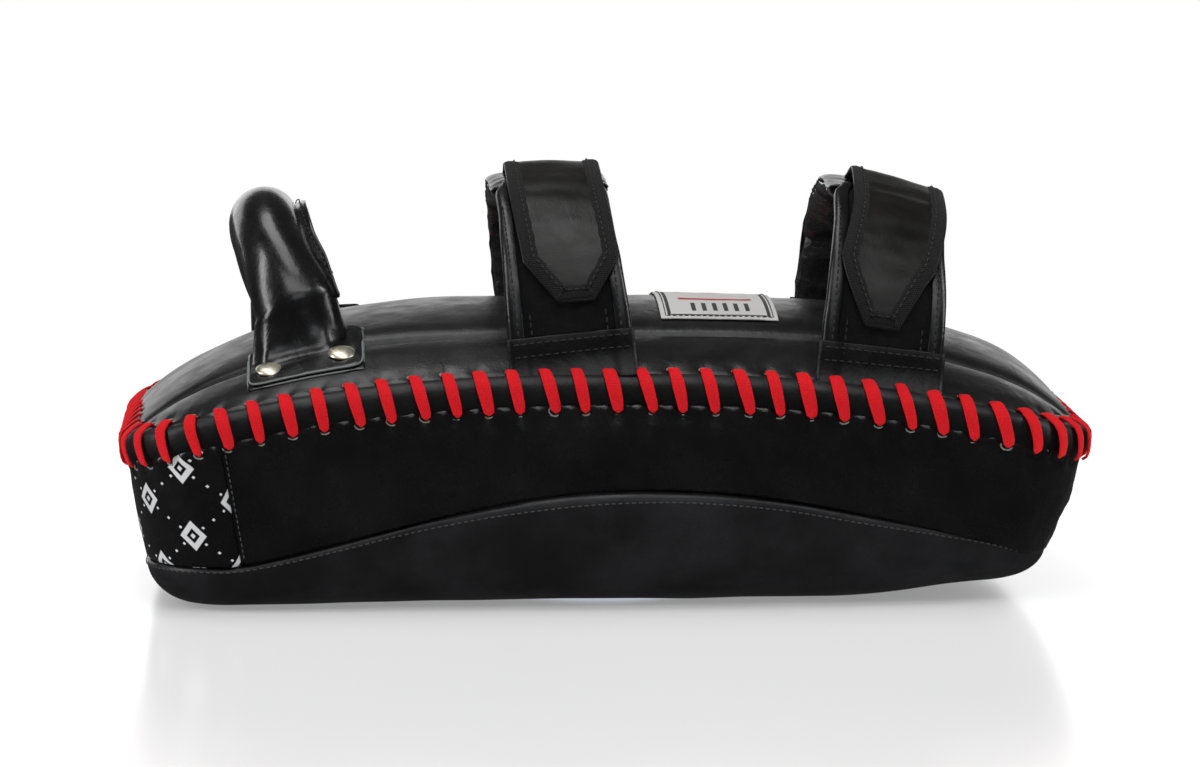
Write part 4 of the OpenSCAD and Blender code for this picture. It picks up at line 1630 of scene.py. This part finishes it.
    def cuff(self):
        """The padded half: crumpled outer leather and lining, and the foam between them."""
        outer, lining, padding = Build(), Build(), Build()
        outer.slab(self.cuff_rows(1.0, True, 0, TAB_ANGLE, 110), 1.4, Vector((0, 0, 20)),
                   self.crumple(0.9, 10), at=self.place)
        rows = self.cuff_rows(0.985, False, 0, TAB_ANGLE, 110)
        inward = self.crumple(2.5, 9)
        rows = [[p + self.inwards(p) * inward(p) for p in row] for row in rows]
        lining.slab(rows, 1.3, Vector((0, 0, 400)), at=self.place)
        loops = []
        for p, n in self.line(2, TAB_ANGLE - 2, 50, 0.0):
            p = p - n * cuff_sag(p)
            loop = []
            for q in turn(28):
                beside = Vector((22.6 * boxy(math.cos(q), CUFF_SQUARENESS), 0, 0))
                loop.append(self.place @ (p + beside + n * 2.1 * boxy(math.sin(q), CUFF_SQUARENESS)))
            loops.append(loop)
        padding.tube(loops)
        # The lining's material is lighter than the black lining itself: painted sheen.
        for build, ending, material, slot, node, fill in (
            (outer, "_cuff_leather", CUFF, "cuff_leather", "cuff_outer", 0.7),
            (lining, "_cuff_inside", LINING_PAINTED_SHEEN, "lining_leather", "cuff_lining", 0.6),
            (padding, "_cuff_foam", FOAM, "foam", "cuff_padding", 0.8),
        ):
            piece = build.object(self.name + ending, material, slot)
            self.hinged(piece, [node])

    def inwards(self, p):
        """Roughly the direction into the loop."""
        return Vector((0, -p.y, 12 - p.z)).normalized()

    # -- tab --

    def tab_half(self, p, grow=0.0):
        """Half the tab's width at a point of its line, from the cut-off tip upwards."""
        tip = loop_point(self.tip_angle, 0)[0].z
        if p.y > -50:
            return TAB_HALF + grow
        return mix(TAB_POINT, TAB_HALF, clamp((p.z - tip) / self.shoulder)) + grow

    def tab_shift(self, p):
        """How far the tab sits towards +X at a point: it lies a little askew on the loop."""
        return mix(*self.shifts, ease(30, LOOP_HEIGHT - 2, p.z))

    def tab_across(self, p, grow, count):
        half, shift = self.tab_half(p, grow), self.tab_shift(p)
        return steps(shift - half, shift + half, count)

    def tab_line(self, count, d):
        """The tab's line from where it is sewn to the cuff, over its bend, to its tip."""
        found = []
        for a in steps(84, self.tip_angle, count):
            p, n = loop_point(a, 0)
            found.append((p + n * mix(d - 1.0 - SAG, d, ease(84, 104, a)), n))
        return found

    def tab(self):
        """The closure tab: its leather, the hooks under it, the tape round its edge, thread."""
        face, hook, binding, sewing = Build(), Build(), Build(), Build()
        line = self.tab_line(72, 5.0)

        def creases(p):
            middle = abs(p.x - self.tab_shift(p))
            waves = 0.22 * math.sin(p.z * 0.9 + 2 * noise.noise(p / 14)) * ease(36, 56, p.z)
            waves += soft((p.x * 0.3, p.y, p.z), 7, 0.3, self.seed) + 0.35 * hump(middle, 0, 9)
            return waves * ease(TAB_HALF - 4, TAB_HALF - 9, middle) + soft(p, 26, 0.3, self.seed + 3)

        self.sheet(face, line, lambda p: self.tab_across(p, -0.6, 20), 1.6, creases)
        low = self.line(TAB_ANGLE + 12, self.tip_angle - 1.5, 36, 3.1)
        self.sheet(hook, low, lambda p: self.tab_across(p, -3, 16), 1.0)
        self.tab_binding(binding, sewing)
        pieces = (
            (face.object(self.name + "_tab_leather", TAB, "grip_leather"), ["tab_face"]),
            (hook.object(self.name + "_tab_hooks", HOOKS, "hook_tape"), ["tab_hook"]),
            (binding.object(self.name + "_tab_edging", BINDING, "binding_tape"), ["tab_binding"]),
            (sewing.object(self.name + "_tab_thread", THREAD, "binding_tape"), []),
        )
        for piece, nodes in pieces:
            bend(piece,
                 [self.name + "_" + n for n in nodes])

    def outline(self):
        """The tab's outline from the top, round the tip and up again, with the direction out of
        its face at each point."""
        line = self.tab_line(80, 4.35)
        points = [(p + Vector((self.tab_shift(p) - self.tab_half(p), 0, 0)), n) for p, n in line]
        tip, n = line[-1]
        for x in steps(-TAB_POINT, TAB_POINT, 8)[1:-1]:
            points.append((tip + Vector((self.tab_shift(tip) + x, 0, 0)), n))
        points += [(p + Vector((self.tab_shift(p) + self.tab_half(p), 0, 0)), n) for p, n in line[::-1]]
        return points

    def tab_binding(self, build, sewing):
        """Woven tape folded round the tab's edge."""
        points = self.outline()
        rows, thread, ups = [], [], []
        for k, (p, n) in enumerate(points):
            before, after = points[max(k - 1, 0)][0], points[min(k + 1, len(points) - 1)][0]
            along = (after - before).normalized()
            inward = n.cross(along).normalized()
            if inward.dot(Vector((self.tab_shift(p), p.y, p.z + 6)) - p) < 0:
                inward = -inward
            wave = 0.2 * math.sin(k * 1.1)
            row = []
            for i, d in FOLDED_TAPE:
                row.append(p + inward * (i + wave * (i > 4)) + n * d)
            rows.append(row)
            thread.append(self.place @ (p + inward * 4.4 + n * 1.5))
            ups.append((self.place.to_3x3() @ n).normalized())
        middle = loop_point(135, 4.0)[0]
        build.slab(rows, 0.8, middle + Vector((self.tab_shift(middle), 0, 0)), at=self.place)
        stitch_line(sewing, thread, ups, 3.0, 0.68, 0.33, 0.25)


# ---- Stage ----


def area_light(name, place, target, size, power, colour=(1, 1, 1)):
    """A rectangular soft light that faces its target."""
    light = bpy.data.lights.new(name, "AREA")
    light.shape, light.size, light.size_y = "RECTANGLE", size[0], size[1]
    light.energy, light.color = power, colour
    lamp = bpy.data.objects.new(name, light)
    lamp.location = place
    lamp.rotation_euler = (Vector(target) - Vector(place)).to_track_quat("-Z", "Y").to_euler()
    bpy.context.scene.collection.objects.link(lamp)
    return lamp


def floor():
    """Pale glossy floor that melts into the white background away from the object."""
    paint = Paint("pale floor", by_place=True)
    tree = paint.tree
    tone = spread(tree, paint.noise(1.5, 3), 0.3, 0.7)
    base = blend_colour(tree, tone, rgba((0.86, 0.86, 0.865)), rgba((0.88, 0.88, 0.88)))
    gloss = spread(tree, paint.noise(3, 2), 0.2, 0.8, 0.16, 0.2)
    material = paint.finish(
        base, gloss, Specular_IOR_Level=0.4, Emission_Color=(1, 1, 1, 1), Emission_Strength=0.27
    )
    output = next(n for n in tree.nodes if n.type == "OUTPUT_MATERIAL")
    shader = output.inputs["Surface"].links[0].from_socket
    away = add(tree, "VectorMath", {0: paint.where}, out=1, operation="LENGTH")
    clear = add(tree, "BsdfTransparent")
    both = add(tree, "MixShader", {0: spread(tree, away, 0.3, 0.85), 1: shader, 2: clear})
    tree.links.new(both, output.inputs["Surface"])
    build = Build()
    build.grid([[Vector((x, y, 0)) for x in steps(-1600, 1600, 2)] for y in steps(-1600, 1600, 2)])
    ground = build.object("floor", material)
    ground.visible_glossy = False


def world():
    """White behind the object, and a softer fill light from everywhere."""
    sky = bpy.data.worlds.new("Studio")
    sky.use_nodes = True
    tree = sky.node_tree
    tree.nodes.clear()
    seen = add(tree, "Background", {"Color": (1, 1, 1, 1), "Strength": 1.0})
    fill = add(tree, "Background", {"Color": (1, 1, 1, 1), "Strength": 0.06})
    camera_ray = add(tree, "LightPath", out="Is Camera Ray")
    both = add(tree, "MixShader", {0: camera_ray, 1: fill, 2: seen})
    add(tree, "OutputWorld", {"Surface": both})
    bpy.context.scene.world = sky


def stage():
    """Floor, background, lights and camera."""
    floor()
    world()
    area_light("Overhead", (-0.2, -0.1, 1.6), (0, 0, 0.08), (1.6, 0.6), 10)
    area_light("Left strip", (-1.5, -0.35, 0.75), (-0.1, 0, 0.06), (0.35, 1.2), 10)
    area_light("Right strip", (1.5, -0.2, 0.8), (0.1, 0, 0.06), (0.35, 1.2), 10)
    area_light("Top front", (0.1, -1.3, 1.5), (0, 0, 0.08), (1.8, 0.5), 8)
    area_light("Front fill", (0.3, -2.4, 1.2), (0, 0, 0.05), (1.2, 0.8), 4, (0.9, 0.95, 1.0))
    back = area_light("White wall behind", (-0.3, 2.6, 0.6), (0, 0, 0.2), (3.6, 1.1), 15)
    back.visible_camera = False
    bpy.context.scene.view_settings.view_transform = "Standard"
    camera = bpy.data.cameras.new("Camera")
    camera.lens, camera.sensor_width = 160, 36
    lens = bpy.data.objects.new("Camera", camera)
    lens.location = (-0.12, -2.2, 0.338)
    aim = Vector((0.0, 0, 0.082)) - Vector(lens.location)
    lens.rotation_euler = aim.to_track_quat("-Z", "Y").to_euler()
    bpy.context.scene.collection.objects.link(lens)
    bpy.context.scene.camera = lens


def build_all():
    """Every piece, in order. Stitches drawn at random come in this order too."""
    strike_face()
    side_panels()
    centre_panel()
    back_border(1, "back_border_leather_near", "back_border_near")
    back_border(-1, "back_border_leather_far", "back_border_far")
    lacing_flap()
    foams()
    body_seams()
    edge_lace()
    woven_label()
    grip()
    handle_tabs()
    flange()
    handle_core()
    for values in (
        ("wrist", -6, (0, 0), 0.0012, 165.8, 17.5, (3.9, 2.0), 3.0),
        ("forearm", 6, (-2.2, 1.6), 0.0024, 169.9, 26, (-1.4, 4.6), 17.0),
    ):
        strap = Strap(*values)
        strap.near_half()
        strap.base(-1, "_near_half", "base_near")
        strap.base(1, "_cuff", "base_far")
        strap.cuff()
        strap.tab()


build_all()
stage()
